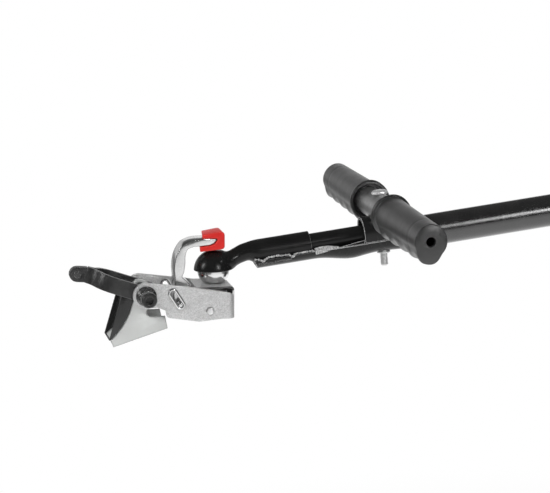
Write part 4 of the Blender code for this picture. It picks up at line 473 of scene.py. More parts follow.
# The pale red edge colour is a painted highlight along the cap's and buttons' edges.
RED = finish("red plastic", (0.56, 0.014, 0.012, 1), (0.66, 0.022, 0.018, 1), (0.34, 0.46),
             grain=90, bump=0.06, bump_scale=600, edge_wear_and_light=0.9, edge_wear_and_light_colour=(0.85, 0.26, 0.21, 1),
             specular=0.3)
RUBBER = finish("grip rubber", 0.010, 0.014, (0.34, 0.42), grain=40, bump=0.12,
                bump_scale=1500, edge_wear_and_light=0.5, edge_wear_and_light_colour=0.08, dust=0.01, sheen=0.04,
                specular=0.85)
TYRE = finish("tyre rubber", 0.013, 0.026, (0.60, 0.80), grain=60, bump=0.25,
              bump_scale=900, edge_wear_and_light=0.35, edge_wear_and_light_colour=0.09, edge_wear_and_light_width=0.0015, dust=0.10)
TUB_PLASTIC = finish("tub plastic", 0.017, 0.025, (0.42, 0.58), grain=14, bump=0.45,
                     bump_scale=1100, edge_wear_and_light=0.35, edge_wear_and_light_colour=0.11, edge_wear_and_light_width=0.0018, dust=0.10)
GLOSS_PLASTIC = finish("gloss plastic", 0.009, 0.016, (0.10, 0.22), grain=50, bump=0.04,
                       bump_scale=400, edge_wear_and_light=0.2, edge_wear_and_light_colour=0.08)
MOULDED = finish("moulded plastic", 0.014, 0.024, (0.35, 0.5), grain=80, bump=0.2,
                 bump_scale=1300, edge_wear_and_light=0.25, edge_wear_and_light_colour=0.09)
STEEL = finish("bright steel", 0.55, 0.68, (0.22, 0.32), 1.0, grain=120, bump=0.03)
print("finishes:", len(FINISHES))

# %% [markdown]
# ## Galvanised steel
# Hot zinc freezes in small crystals, so the hitch looks grainy: bright and dull grains side by side.
# Voronoi cells give each grain its own tone and gloss, and a cloud breaks them up.

# %% Galvanised steel
galvanised_group, given, result = effect_group("zinc crystals", {"Scale": 1500})
spot = place_node(galvanised_group, "ShaderNodeTexCoord")
warp = place_node(
    galvanised_group, "ShaderNodeTexNoise", Vector=spot.outputs["Object"], Scale=900.0, Detail=3.0
)
crystal = place_node(
    galvanised_group, "ShaderNodeTexVoronoi", Vector=spot.outputs["Object"], Scale=given["Scale"]
)
tone = place_node(galvanised_group, "ShaderNodeSeparateColor", Color=crystal.outputs["Color"])
grains = arithmetic(galvanised_group, "MULTIPLY", tone.outputs[0], 0.55)
grains = arithmetic(galvanised_group, "MULTIPLY_ADD", warp.outputs[0], 0.6, grains, clamp=True)
link(galvanised_group, grains, result["Value"])

GALVANISED = finish("galvanised steel", 0.27, 0.34, (0.38, 0.50), 0.45, grain=70,
                    bump=0.45, bump_scale=1300, edge_wear_and_light=0.15, edge_wear_and_light_colour=0.8)
tree, shader, colour, relief = FINISHES["galvanised steel"]
crystals = effect(tree, galvanised_group, Scale=2100)
colour = mixed_colour(tree, crystals, colour, 0.74)
link(tree, colour, shader.inputs["Base Color"])
link(tree, crystals, relief.inputs["Height"])
gloss = place_node(tree, "ShaderNodeMapRange", Value=crystals, To_Min=0.48, To_Max=0.34)
link(tree, gloss.outputs[0], shader.inputs["Roughness"])
print("galvanised from", galvanised_group.name)

# %% [markdown]
# ## Brushed aluminium
# Rims and hubs are turned on a lathe, which leaves fine rings about the axle. A noise that changes
# along the axle alone draws them: the wheels turn about Y, so only Y goes into it.

# %% Brushed aluminium
brushed_group, given, result = effect_group("turning marks", {"Scale": 900})
spot = place_node(brushed_group, "ShaderNodeTexCoord")
parts = place_node(brushed_group, "ShaderNodeSeparateXYZ", Vector=spot.outputs["Object"])
rings = place_node(
    brushed_group, "ShaderNodeTexNoise", {"noise_dimensions": "1D"}, W=parts.outputs["Y"],
    Scale=given["Scale"], Detail=6.0, Roughness=0.7,
)
link(brushed_group, rings.outputs[0], result["Value"])
ALUMINIUM = finish("turned aluminium", (0.60, 0.61, 0.62, 1), (0.70, 0.71, 0.72, 1), (0.25, 0.36),
                   1.0, grain=40, bump=0.12, edge_wear_and_light=0.15, edge_wear_and_light_colour=0.85, dust=0.02)
tree, shader, colour, relief = FINISHES["turned aluminium"]
link(tree, effect(tree, brushed_group, Scale=2400), relief.inputs["Height"])
print("aluminium with", brushed_group.name)

# %% [markdown]
# ## Workbench
# Most pieces are one of four kinds: turned on a lathe, cut from plate, bent from tube, or skinned
# over a row of sections. A small function for each keeps the later cells short. Corners are rounded
# in the drawing itself, because a real edge always catches a line of light.

# %% Drawing helpers


def arc(centre, radius, start, end, steps):
    """Points along an arc, angles in degrees."""
    turns = [math.radians(start + (end - start) * i / steps) for i in range(steps + 1)]
    return [(centre[0] + radius * math.cos(t), centre[1] + radius * math.sin(t)) for t in turns]


def circle(centre, radius, steps=48):
    return arc(centre, radius, 0, 360, steps)[:-1]


def equal_turns(count):
    """Equal turns round a circle, in radians."""
    return [2 * math.pi * i / count for i in range(count)]


def rounded(points, radius, steps=3, closed=True):
    """Round the corners of an outline, each by at most the given radius."""
    result = []
    count = len(points)
    for i, corner in enumerate(points):
        if not closed and i in (0, count - 1):
            result.append(tuple(corner))
            continue
        here = Vector(corner)
        before, after = Vector(points[i - 1]) - here, Vector(points[(i + 1) % count]) - here
        if before.length < 1e-9 or after.length < 1e-9:
            continue
        angle = before.angle(after)
        if angle > math.radians(165):
            result.append(tuple(corner))
            continue
        cut = min(radius / math.tan(angle / 2), 0.45 * before.length, 0.45 * after.length)
        first, last = here + before.normalized() * cut, here + after.normalized() * cut
        for j in range(steps + 1):
            t = j / steps
            point = first * (1 - t) ** 2 + here * 2 * t * (1 - t) + last * t ** 2
            result.append((point.x, point.y))
    return result


def mirrored(profile):
    """A half profile from its top to the middle, with its mirror image below."""
    return profile + [(r, -z) for r, z in reversed(profile) if z > 0]


def oblong(centre, length, width, tilt=0.0, steps=12):
    """A slot's outline: two half circles joined by straight sides, tilt in degrees."""
    half = (length - width) / 2
    dx, dz = half * math.cos(math.radians(tilt)), half * math.sin(math.radians(tilt))
    front, back = (centre[0] + dx, centre[1] + dz), (centre[0] - dx, centre[1] - dz)
    return (arc(front, width / 2, tilt - 90, tilt + 90, steps)
            + arc(back, width / 2, tilt + 90, tilt + 270, steps))


def curve_through(points, steps):
    """A smooth line through points (Catmull-Rom), as tuples of any length."""
    points = [Vector(p) for p in points]
    result = []
    for i, (b, c) in enumerate(zip(points, points[1:])):
        a = points[i - 1] if i else b * 2 - c
        d = points[i + 2] if i + 2 < len(points) else c * 2 - b
        for j in range(steps):
            t = j / steps
            result.append(tuple(
                ((b * 2) + (c - a) * t + (a * 2 - b * 5 + c * 4 - d) * t ** 2
                 + (b * 3 - a - c * 3 + d) * t ** 3) * 0.5
            ))
    return result + [tuple(points[-1])]


print("drawing helpers ready")

# %% Shaping helpers: sections, paths and plates


def skin(rings, closed_along=False):
    """Faces between rings of the same length, with the two ends closed."""
    shape = bmesh.new()
    rows = [[shape.verts.new(p) for p in ring] for ring in rings]
    count = len(rows[0])
    pairs = list(zip(rows, rows[1:])) + ([(rows[-1], rows[0])] if closed_along else [])
    for lower, upper in pairs:
        for i in range(count):
            j = (i + 1) % count
            shape.faces.new((lower[i], lower[j], upper[j], upper[i]))
    if not closed_along:
        shape.faces.new(list(reversed(rows[0])))
        shape.faces.new(rows[-1])
    return shape


def lathe(profile, sides=64, ring=False):
    """Turn a profile of (radius, height) about Z. A ring's profile is a closed loop."""
    shape = bmesh.new()
    rows = []
    for turn in equal_turns(sides):
        rows.append([shape.verts.new((r * math.cos(turn), r * math.sin(turn), z)) for r, z in profile])
    last = len(profile) if ring else len(profile) - 1
    for i in range(sides):
        here, there = rows[i], rows[(i + 1) % sides]
        for j in range(last):
            k = (j + 1) % len(profile)
            shape.faces.new((here[j], here[k], there[k], there[j]))
    bmesh.ops.remove_doubles(shape, verts=shape.verts, dist=1e-7)
    bmesh.ops.dissolve_degenerate(shape, edges=shape.edges, dist=1e-8)
    return shape


def bar(radius, low, high, sides=48):
    """A plain round bar along Z."""
    return lathe([(0, low), (radius, low), (radius, high), (0, high)], sides)


def pipe(outer, inner, half, edge, sides=64):
    """A plain tube along Z about the middle, with rounded edges."""
    section = [(outer, half), (outer, -half), (inner, -half), (inner, half)]
    return lathe(rounded(section, edge), sides, ring=True)


def along_path(points, radius, sides=32, bore=0.0):
    """A round bar or tube along a path of points in space, with its frame carried along."""
    points = [Vector(p) for p in points]
    directions = []
    for i, point in enumerate(points):
        before = points[max(i - 1, 0)]
        after = points[min(i + 1, len(points) - 1)]
        directions.append((after - before).normalized())
    normal = directions[0].orthogonal().normalized()
    outer, inner = [], []
    for i, point in enumerate(points):
        if i:
            swing = directions[i - 1].rotation_difference(directions[i])
            normal = (swing @ normal).normalized()
        across = directions[i].cross(normal)
        for row, size in ((outer, radius), (inner, bore)):
            if size:
                row.append([
                    point + (normal * math.cos(t) + across * math.sin(t)) * size
                    for t in equal_turns(sides)
                ])
    if not bore:
        return skin(outer)
    return skin(outer + inner[::-1], closed_along=True)


def plate(outline, thickness, holes=(), edge=0.0004, edge_steps=2):
    """A flat plate cut from an outline with holes, with rounded edges, as a 2D curve makes it."""
    drawing = bpy.data.curves.new("drawing", "CURVE")
    drawing.dimensions, drawing.fill_mode = "2D", "BOTH"
    drawing.extrude, drawing.bevel_depth = thickness / 2 - edge, edge
    drawing.bevel_resolution, drawing.offset = edge_steps - 1, -edge
    for line in (outline, *holes):
        spline = drawing.splines.new("POLY")
        spline.points.add(len(line) - 1)
        for spot, (x, y) in zip(spline.points, line):
            spot.co = (x, y, 0, 1)
        spline.use_cyclic_u = True
    sheet = in_scene("drawing", drawing)
    shape = evaluated(sheet)
    bmesh.ops.remove_doubles(shape, verts=shape.verts, dist=2e-6)
    bpy.data.objects.remove(sheet)
    return shape


print("skin, lathe, bar, pipe, path and plate ready")

# %% Shaping helpers: modifiers and finished pieces


def evaluated(item):
    """The mesh that an object has after its modifiers, as an editable shape."""
    bpy.context.view_layer.update()
    mesh = bpy.data.meshes.new_from_object(item.evaluated_get(bpy.context.evaluated_depsgraph_get()))
    shape = bmesh.new()
    shape.from_mesh(mesh)
    bpy.data.meshes.remove(mesh)
    return shape


def joined(*shapes):
    """Several shapes as one."""
    whole = bmesh.new()
    for shape in shapes:
        mesh = as_mesh("part", shape)
        whole.from_mesh(mesh)
        bpy.data.meshes.remove(mesh)
    return whole


def with_modifier(shape, kind, **settings):
    """A shape after one modifier, which is applied at once."""
    mesh = as_mesh("work", shape)
    item = in_scene("work", mesh)
    modifier = item.modifiers.new("work", kind)
    for key, value in settings.items():
        setattr(modifier, key, value)
    result = evaluated(item)
    bpy.data.objects.remove(item)
    bpy.data.meshes.remove(mesh)
    return result


def placed(shape, matrix):
    shape.transform(matrix)
    return shape


def bevelled(shape, width, steps, angle):
    """A shape with its edges rounded where they turn by more than an angle in degrees."""
    return with_modifier(
        shape, "BEVEL", width=width, segments=steps, limit_method="ANGLE",
        angle_limit=math.radians(angle), use_clamp_overlap=True,
    )


def combine(shape, other, operation="UNION"):
    """Union, difference or intersection of two closed shapes."""
    for each in (other, shape):
        bmesh.ops.recalc_face_normals(each, faces=each.faces)
    mesh = as_mesh("tool", other)
    tool = in_scene("tool", mesh)
    result = with_modifier(shape, "BOOLEAN", operation=operation, object=tool, solver="EXACT")
    bpy.data.objects.remove(tool)
    bpy.data.meshes.remove(mesh)
    return result


def cut_away(shape, tool, place=Matrix.Identity(4)):
    """A shape less a tool, which is first put in its place."""
    return combine(shape, placed(tool, place), "DIFFERENCE")


def softened(node, width, steps=3):
    """A CAD node's shape with its loose triangles merged and its edges rounded."""
    shape = bmesh.new()
    shape.from_mesh(frame["nodes"][node].data)
    bmesh.ops.remove_doubles(shape, verts=shape.verts, dist=1e-6)
    bmesh.ops.dissolve_limit(
        shape, angle_limit=math.radians(1), verts=shape.verts, edges=shape.edges
    )
    bmesh.ops.connect_verts_concave(shape, faces=shape.faces)
    return bevelled(shape, width, steps, 30)


def piece(name, shape, material, body, nodes=(), matrix=None, sharp=38):
    """Make a shape into a finished piece that rides on a body and stands for CAD nodes."""
    if matrix is not None:
        shape.transform(matrix)
    bmesh.ops.remove_doubles(shape, verts=shape.verts, dist=1e-6)
    bmesh.ops.recalc_face_normals(shape, faces=shape.faces)
    mesh = as_mesh(name, shape)
    mesh.shade_smooth()
    mesh.set_sharp_from_angle(angle=math.radians(sharp))
    mesh.materials.append(material)
    made = in_scene(name, mesh)
    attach(made, body)
    if nodes:
        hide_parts(*([nodes] if isinstance(nodes, str) else nodes))
    print(f"{name}: {len(mesh.polygons)} faces")
    return made


SIDES = ((-1, "left"), (1, "right"))
print("pieces can be made, on", len(SIDES), "sides")

# %% [markdown]
# ## The hitch channel
# One strip of thick steel is bent into a U with a top plate for the ball, then dipped in zinc. We
# draw the U from above and the sides from the left, keep what both drawings share, and add the top
# plate with its bend. Crossing two drawings is how a press tool is laid out too, and it gives the
# smooth corner at the rear that catches the light. The two cuts that let the corners bend, and the
# edge of the top plate beside the walls, are painted dark with the strap's black as painted shade.

# %% Hitch channel
BAND_AT, EAR_REACH = (-0.0784, -0.0066), 0.0236
CROSS_BOLT = (BAND_AT[0] + EAR_REACH * math.cos(BAND_TILT),
              BAND_AT[1] - EAR_REACH * math.sin(BAND_TILT))
SLOT, SLOT_TILT = (-0.0324, -0.0175), -58
SPRING_PIN = (-0.0063, -0.0280)
PLATE_IN, PLATE_OUT = 0.0171, 0.0206
END_REAR, END_FRONT = 0.0132, 0.0082
CORNER = 0.0055

from_above = [(-0.08, -PLATE_OUT)]
from_above += arc((END_REAR - CORNER, -PLATE_OUT + CORNER), CORNER, 270, 360, 8)
from_above += arc((END_REAR - CORNER, PLATE_OUT - CORNER), CORNER, 0, 90, 8)
from_above += [(-0.08, PLATE_OUT), (-0.08, PLATE_IN), (END_FRONT, PLATE_IN)]
from_above += [(END_FRONT, -PLATE_IN), (-0.08, -PLATE_IN)]
walls = plate(from_above, 0.10, edge=0)

side_view = arc(CROSS_BOLT, 0.010, 82, 300, 28)
side_view += rounded([
    (-0.0457, -0.0243), (-0.0409, -0.0262), (-0.0397, -0.0319), (-0.0148, -0.0361),
    (0.0041, -0.0345), (END_REAR + 0.002, -0.0348), (END_REAR + 0.002, -0.0205),
    (0.0124, -0.0172), (0.0098, -0.0148), (0.0066, -0.0138), (-0.0189, -0.0093), (-0.040, -0.0064),
], 0.002, closed=False)
openings = [
    circle(CROSS_BOLT, 0.0043), circle(SPRING_PIN, 0.0031), oblong(SLOT, 0.0190, 0.0080, SLOT_TILT),
]
sides_only = placed(plate(side_view, 0.06, openings, edge=0), ALONG_Y)
channel = combine(walls, sides_only, "INTERSECT")

top_view = [(-0.0164, -0.0098)] + arc((END_REAR - 0.003, -0.0128), 0.003, 90, 0, 8)
top_view += [(END_REAR, -0.0345), (END_FRONT, -0.0345), (END_FRONT, -0.0138), (-0.0164, -0.0138)]
top_plate = plate(top_view, 2 * PLATE_IN + 0.0004, edge=0)
channel = combine(channel, placed(top_plate, ALONG_Y))
corner_cut = rounded([(0.0000, -0.0150), (0.0116, -0.0160), (0.0120, -0.0118), (0.0060, -0.0108),
                      (0.0015, -0.0125)], 0.0010)
for side, _ in SIDES:
    channel = cut_away(channel, plate(corner_cut, 0.0052, edge=0), moved(0, side * 0.0151, 0) @ ALONG_Y)
channel = bevelled(cut_away(channel, bar(0.0043, -0.03, 0, 32)), 0.0006, 3, 32)
channel_body = piece("channel_body", channel, GALVANISED, "bracket", "hitch_channel",
                     HITCH, 50)
channel_body.data.materials.append(BAND_BLACK)
# Faces in the corner cuts and on the top plate's edge beside the walls take the strap black as painted
# shade.
for face in channel_body.data.polygons:
    x, y, z = HITCH.inverted() @ face.center
    in_relief = 0.0 < x < 0.0119 and 0.0125 < abs(y) < 0.0170 and -0.0158 < z < -0.0109
    beside_top = x > -0.0170 and 0.0160 < abs(y) < 0.0178 and -0.0140 < z < -0.0101
    if in_relief or beside_top and abs(face.normal.y) > 0.6:
        face.material_index = 1

# %% [markdown]
# ## Clamp round the seat post
# The band is spring steel with a black oxide skin, split in two halves that meet in an ear. Its CAD
# solid has the right shape, so we only merge its triangles and round its edges. The brace with its
# slot and the shoe that bears on the post get the same care.

# %% Clamp band, brace and shoe
for side, suffix in SIDES:
    piece("band_" + suffix, softened("clamp_band_" + suffix, 0.0005), BAND_BLACK, "bracket",
          "clamp_band_" + suffix)
piece("brace", softened("brace_plate", 0.00022, 2), ZINC, "bracket", "brace_plate")
piece("shoe", softened("post_pad", 0.0009, 4), GLOSS_PLASTIC, "bracket", "post_pad",
      sharp=50)
piece("ear_rivet_head", softened("ear_rivet", 0.0002), BLACK_SATIN, "bracket", "ear_rivet")

# %% [markdown]
# ## Cross bolt with its ribbed collar
# The bolt that closes the clamp has a knurled socket head, and a collar with five turned ribs lies
# under it. The knurl is the same small bar again and again round an axis, so Geometry Nodes lay it
# out: a circle of points, one bar on each, turned to face outwards. The helper below builds such a
# tree with named inputs, and the tyres use it again later.

# %% Geometry Nodes: copies of a shape round the Z axis
def finished(tree, grown, material, output):
    """End a Geometry Nodes tree with real geometry in its material."""
    real = place_node(tree, "GeometryNodeRealizeInstances", Geometry=grown)
    painted = place_node(
        tree, "GeometryNodeSetMaterial", Geometry=real.outputs["Geometry"], Material=material
    )
    link(tree, painted.outputs["Geometry"], output)


def ring_tree(name):
    """A tree that sets copies of an object round Z: inputs Copy, Count, Radius, Height, Finish."""
    tree = bpy.data.node_groups.new(name, "GeometryNodeTree")
    tree.interface.new_socket("Geometry", in_out="OUTPUT", socket_type="NodeSocketGeometry")
    for label, kind in (("Copy", "NodeSocketObject"), ("Count", "NodeSocketInt"),
                        ("Radius", "NodeSocketFloat"), ("Height", "NodeSocketFloat"),
                        ("Finish", "NodeSocketMaterial")):
        tree.interface.new_socket(label, in_out="INPUT", socket_type=kind)
    given = tree.nodes.new("NodeGroupInput").outputs
    leave = tree.nodes.new("NodeGroupOutput").inputs
    points = place_node(
        tree, "GeometryNodeMeshCircle", Vertices=given["Count"], Radius=given["Radius"]
    )
    place = place_node(tree, "GeometryNodeInputPosition")
    facing = place_node(
        tree, "FunctionNodeAlignRotationToVector", {"axis": "X"}, Vector=place.outputs[0]
    )
    source = place_node(tree, "GeometryNodeObjectInfo", Object=given["Copy"])
    copies = place_node(
        tree, "GeometryNodeInstanceOnPoints", Points=points.outputs["Mesh"],
        Instance=source.outputs["Geometry"], Rotation=facing.outputs["Rotation"],
    )
    lift = place_node(tree, "ShaderNodeCombineXYZ", Z=given["Height"])
    raised = place_node(
        tree, "GeometryNodeSetPosition", Geometry=copies.outputs["Instances"], Offset=lift.outputs[0]
    )
    finished(tree, raised.outputs["Geometry"], given["Finish"], leave["Geometry"])
    return tree


RING = ring_tree("copies round an axis")


def made_by(tree, **values):
    """The plain mesh that a Geometry Nodes tree makes of named input values."""
    item = in_scene("grown", bpy.data.meshes.new("grown"))
    modifier = item.modifiers.new("grown", "NODES")
    modifier.node_group = tree
    for entry in tree.interface.items_tree:
        if entry.in_out == "INPUT" and entry.name in values:
            modifier[entry.identifier] = values[entry.name]
    shape = evaluated(item)
    bpy.data.objects.remove(item)
    return shape


def round_axis(copy, count, radius, height, material):
    """Copies of a small shape round Z, as one shape. The copy is drawn with X pointing outwards."""
    item = in_scene("copy", as_mesh("copy", copy))
    shape = made_by(RING, Copy=item, Count=count, Radius=radius, Height=height, Finish=material)
    bpy.data.objects.remove(item)
    return shape


def block(x, y, z, edge=0.0):
    """A box of a length, width and height about the middle, its edges cut by a chamfer."""
    shape = bmesh.new()
    bmesh.ops.create_cube(shape, size=1.0)
    bmesh.ops.scale(shape, vec=(x, y, z), verts=shape.verts)
    if edge:
        bmesh.ops.bevel(shape, geom=shape.edges, offset=edge, segments=1, affect="EDGES")
    return shape


print("tree:", RING.name)

# %% Nuts, bolts and the collar
def thread(radius, low, high, pitch):
    """The profile of a threaded shank between two heights, as (radius, height), top first."""
    turns = max(1, int((high - low) / pitch))
    step = (high - low) / turns
    points = []
    for i in range(turns):
        top = high - i * step
        points += [(radius - 0.55 * step, top), (radius, top - step / 2)]
    return points + [(radius - 0.55 * step, low)]


def hexagon(across, height, bore=0.0):
    """A hexagonal nut or head of a width across flats, with chamfered corners."""
    flat = across / 2
    turns = equal_turns(72)
    rings = []
    for end, at_face in ((-1, True), (-1, False), (1, False), (1, True)):
        ring = []
        for turn in turns:
            reach = flat / math.cos((turn % (math.pi / 3)) - math.pi / 6)
            drop = 0.0 if at_face else 0.6 * (reach - flat) + 0.0002
            radius = 0.94 * flat if at_face else reach
            ring.append((radius * math.cos(turn), radius * math.sin(turn), end * (height / 2 - drop)))
        rings.append(ring)
    if bore:
        for z in (height / 2, -height / 2):
            rings.append([(bore * math.cos(t), bore * math.sin(t), z) for t in turns])
    return skin(rings, closed_along=bore > 0)


NUT_HIGH = 0.0065
collar_foot = PLATE_OUT + GAP
head_foot = collar_foot + 0.0093
head_top = head_foot + 0.008
bolt_end = -PLATE_OUT - 0.0071
bolt_place = across_hitch(CROSS_BOLT)
bolt = lathe(rounded([
    (0, head_top - 0.0045), (0.0030, head_top - 0.0045), (0.0030, head_top - 0.0002),
    (0.0034, head_top), (0.0053, head_top), (0.0059, head_top - 0.0008), (0.0059, head_foot),
], 0.0002, closed=False) + [(0.004, head_foot)] + thread(0.004, bolt_end, -0.010, 0.0011)
    + [(0, bolt_end)], 48)
knurl = block(0.0006, 0.0005, 0.0062, 0.0001)
bolt = joined(bolt, round_axis(knurl, 36, 0.00585, head_foot + 0.0038, BOLT_BLACK))
piece("cross_bolt_shaped", bolt, BOLT_BLACK, "bracket", "cross_bolt", bolt_place)

ridged = [(0.0043, collar_foot), (0.0078, collar_foot)]
for i in range(5):
    low, reach = collar_foot + 0.0002 + i * 0.00175, 0.0080 - i * 0.00032
    ridged += [(reach - 0.0006, low), (reach, low + 0.0005), (reach, low + 0.0009),
               (reach - 0.0008, low + 0.0015)]
ridged += [(0.0060, collar_foot + 0.009), (0.0043, collar_foot + 0.009)]
piece("collar_ribbed", lathe(ridged, 64, ring=True), COLLAR_GREY, "bracket", "cross_bolt_collar",
      bolt_place, 30)
piece("clamp_nut", hexagon(0.0130, NUT_HIGH, 0.0040), BOLT_ZINC, "bracket", "cross_bolt_nut",
      bolt_place @ moved(0, 0, -PLATE_OUT - GAP - NUT_HIGH / 2))
pin_end = PLATE_OUT + 0.0016
pin = lathe(rounded(mirrored([(0, pin_end), (0.0028, pin_end), (0.0028, 0.001)]), 0.0009, closed=False), 48)
piece("spring_pin_turned", pin, BOLT_ZINC, "bracket", "spring_pin",
      across_hitch(SPRING_PIN))

# %% [markdown]
# ## Ball, bail and the red cap
# The tow ball is turned and chromed, with a flat where its shoulder meets the plate. The bail is a
# bent bar whose foot slides in two slanted slots, lined with chromed rings, and its tip carries a
# red cap that is folded round it. Bail and cap are drawn from the side, as their maker bends them,
# and the cap's free end slants a little.

# %% Ball and its nut
ball_profile = arc((0, 0), 0.0125, 90, -43.5, 40)
ball_profile[0] = (0, 0.0125)
ball_profile += [(0.0075, -0.0088), (0.0063, -0.0091), (0.0062, -0.0095), (0.004, -0.0095)]
ball_profile += thread(0.004, -0.0243, -0.0100, 0.00125) + [(0, -0.0245)]
piece("ball_turned", lathe(ball_profile, 96), CHROME, "ball", "ball_stud", HITCH, 30)
piece("ball_nut_shaped", hexagon(0.0131, NUT_HIGH, 0.0040), BOLT_ZINC, "ball", "ball_nut",
      HITCH @ moved(0, 0, -0.0141 - NUT_HIGH / 2))

# %% Bail with its cap, pin, liners and spring
PIN_REST = (0.0184 - 0.0036) / 2 - 0.0016 - GAP
PIN = (SLOT[0] + PIN_REST * math.cos(math.radians(SLOT_TILT)),
       SLOT[1] + PIN_REST * math.sin(math.radians(SLOT_TILT)))
bail_line = arc(PIN, 0.0042, 20, -200, 20) + [(-0.0316, -0.0090), (-0.0316, -0.0035)]
bail_line += curve_through(
    [(-0.0321, 0.0020), (-0.0317, 0.0080), (-0.0299, 0.0152), (-0.0257, 0.0219), (-0.0211, 0.0247),
     (-0.0160, 0.0260), (-0.0100, 0.0263)], 5)
bail_line += [
    (0.0008, 0.0262), (0.0012, 0.0252), (-0.0010, 0.0227), (-0.0040, 0.0213), (-0.0124, 0.0206),
]
bail_line += curve_through(
    [(-0.0160, 0.0204), (-0.0172, 0.0202), (-0.0214, 0.0185), (-0.0233, 0.0135),
     (-0.0235, 0.0077), (-0.0244, 0.0010)], 4)
bail_line += rounded([(-0.0260, -0.0030), (-0.0186, -0.0096), (-0.0176, -0.0130), (-0.0240, -0.0176)],
                     0.002, closed=False)
bail = plate(bail_line, 0.0172, edge=0.0005, edge_steps=3)
piece("bail_bent", bail, BAIL_CHROME, "bail", "bail", HITCH @ ALONG_Y, 40)

cap_line = arc((0.0045, 0.0288), 0.0029, 83, 0, 10) + arc((0.0050, 0.0203), 0.0024, 0, -80, 8)
cap_line += rounded([
    (0.0036, 0.0176), (-0.0121, 0.0163), (-0.0125, 0.0200), (-0.0121, 0.0203), (-0.0038, 0.0210),
    (-0.0004, 0.0223), (0.0019, 0.0251), (0.0012, 0.0265), (-0.0100, 0.0266), (-0.0107, 0.0297),
    (0.0030, 0.0315),
], 0.0010, 4, closed=False)
CAP_WIDTH, CAP_REACH, CAP_SLANT = 0.0196, 0.011, 0.0030
cap = plate(cap_line, CAP_WIDTH, edge=0.0008, edge_steps=4)
for corner in cap.verts:
    nearness = min(max(-corner.co.x / CAP_REACH, 0), 1)
    corner.co.x += CAP_SLANT * (0.5 - corner.co.z / CAP_WIDTH) * nearness
piece("red_cap", cap, RED, "bail", "bail_cap", HITCH @ ALONG_Y, 40)

pin = lathe(rounded(mirrored([(0, 0.0216), (0.0016, 0.0216), (0.0016, 0.001)]), 0.0004, closed=False), 32)
piece("bail_pin_turned", pin, CHROME, "bail_foot", "bail_pin",
      across_hitch(PIN))
for side, suffix in SIDES:
    liner = plate(oblong(SLOT, 0.0184, 0.0074, SLOT_TILT), 0.0045,
                  [oblong(SLOT, 0.0148, 0.0038, SLOT_TILT)], edge=0.0007, edge_steps=4)
    piece("liner_" + suffix, liner, CHROME, "bracket", "slot_liner_" + suffix,
          HITCH @ moved(0, side * (PLATE_IN + 0.00225), 0) @ ALONG_Y, 60)

start, end = Vector((PIN[0], 0, PIN[1])), Vector((SPRING_PIN[0], 0, SPRING_PIN[1]))
along = (end - start).normalized()
upwards = Vector((-along.z, 0, along.x))
COIL_RADIUS, WIRE, COIL_TURNS, COIL_STEPS = 0.0032, 0.00055, 7, 24
first = 0.0042 + WIRE + GAP
last = (end - start).length - 0.0028 - WIRE - GAP
coils = []
for i in range(COIL_TURNS * COIL_STEPS + 1):
    turn = 2 * math.pi * i / COIL_STEPS
    centre = start + along * (first + (last - first) * i / (COIL_TURNS * COIL_STEPS))
    coils.append(centre + upwards * COIL_RADIUS * math.cos(turn)
                 + Vector((0, COIL_RADIUS * math.sin(turn), 0)))
piece("bail_coil", along_path(coils, WIRE, 12), STEEL, "bracket", "bail_spring", HITCH)

# %% [markdown]
# ## Coupler
# The coupler is a pressed cup over the ball, a forged neck and a sleeve. On the real one they flow
# into each other, so we make a cup and a neck, fuse them, remesh the result in fine even squares
# and smooth it, and only then cut the socket, the bore and the square end. A thin tube runs from
# the sleeve to the handle.

# %% Coupler
SLEEVE_UP, SLEEVE_RADIUS, SLEEVE_END = 0.0087, 0.0097, 0.0777
CUP_RADIUS, CUP_HEIGHT, CUP_RIM = 0.0152, 0.0158, 0.0009
SPARE = 0.00012
turns = [math.pi / 2 * i / 24 for i in range(1, 25)]
level = Matrix.Rotation(DRAWBAR_RISE, 4, "Y")
cup = lathe(
    [(0, CUP_HEIGHT + SPARE)]
    + [((CUP_RADIUS + SPARE) * math.sin(t), (CUP_HEIGHT + SPARE) * math.cos(t)) for t in turns]
    + [(CUP_RADIUS + SPARE, -0.003), (0, -0.003)], 72)
neck_stations = [
    (0.0050, 0.0074, 0.0125, 0.0075), (0.0085, 0.0072, 0.0112, 0.0073),
    (0.0104, 0.0058, 0.0105, 0.0077), (0.0122, 0.0054, 0.0098, 0.0074),
    (0.0142, 0.0056, 0.0091, 0.0073), (0.0162, 0.0065, 0.0084, 0.0072),
    (0.0185, 0.0077, 0.0077, 0.0069), (0.0210, 0.0087, 0.0074, 0.0069),
    (0.0235, 0.0095, 0.0076, 0.0070), (0.0285, 0.0103, 0.0084, 0.0071),
    (0.0330, 0.0093, 0.0092, 0.0088), (0.0370, SLEEVE_UP, SLEEVE_RADIUS, SLEEVE_RADIUS),
    (0.0450, SLEEVE_UP, SLEEVE_RADIUS, SLEEVE_RADIUS),
    (0.0900, SLEEVE_UP, SLEEVE_RADIUS, SLEEVE_RADIUS),
]
rings = []
for x, up, wide, high in curve_through(neck_stations, 4):
    rings.append([
        (x, (wide + SPARE) * a, up + (high + SPARE) * b) for a, b in circle((0, 0), 1.0, 48)
    ])
coupler = combine(placed(cup, level), skin(rings))
coupler = with_modifier(coupler, "REMESH", mode="VOXEL", voxel_size=0.00055)
coupler = with_modifier(coupler, "SMOOTH", factor=0.5, iterations=7)
rim_tilt = Matrix.Rotation(0.7 * DRAWBAR_RISE, 4, "Y")
coupler = cut_away(coupler, block(0.040, 0.05, 0.02), rim_tilt @ moved(-0.003, 0, CUP_RIM - 0.010))
socket = bmesh.new()
bmesh.ops.create_uvsphere(socket, u_segments=64, v_segments=32, radius=0.0130)
coupler = cut_away(coupler, socket, level)
coupler = cut_away(coupler, bar(0.0078, 0.0457, 0.12), moved(0, 0, SLEEVE_UP) @ ALONG_X)
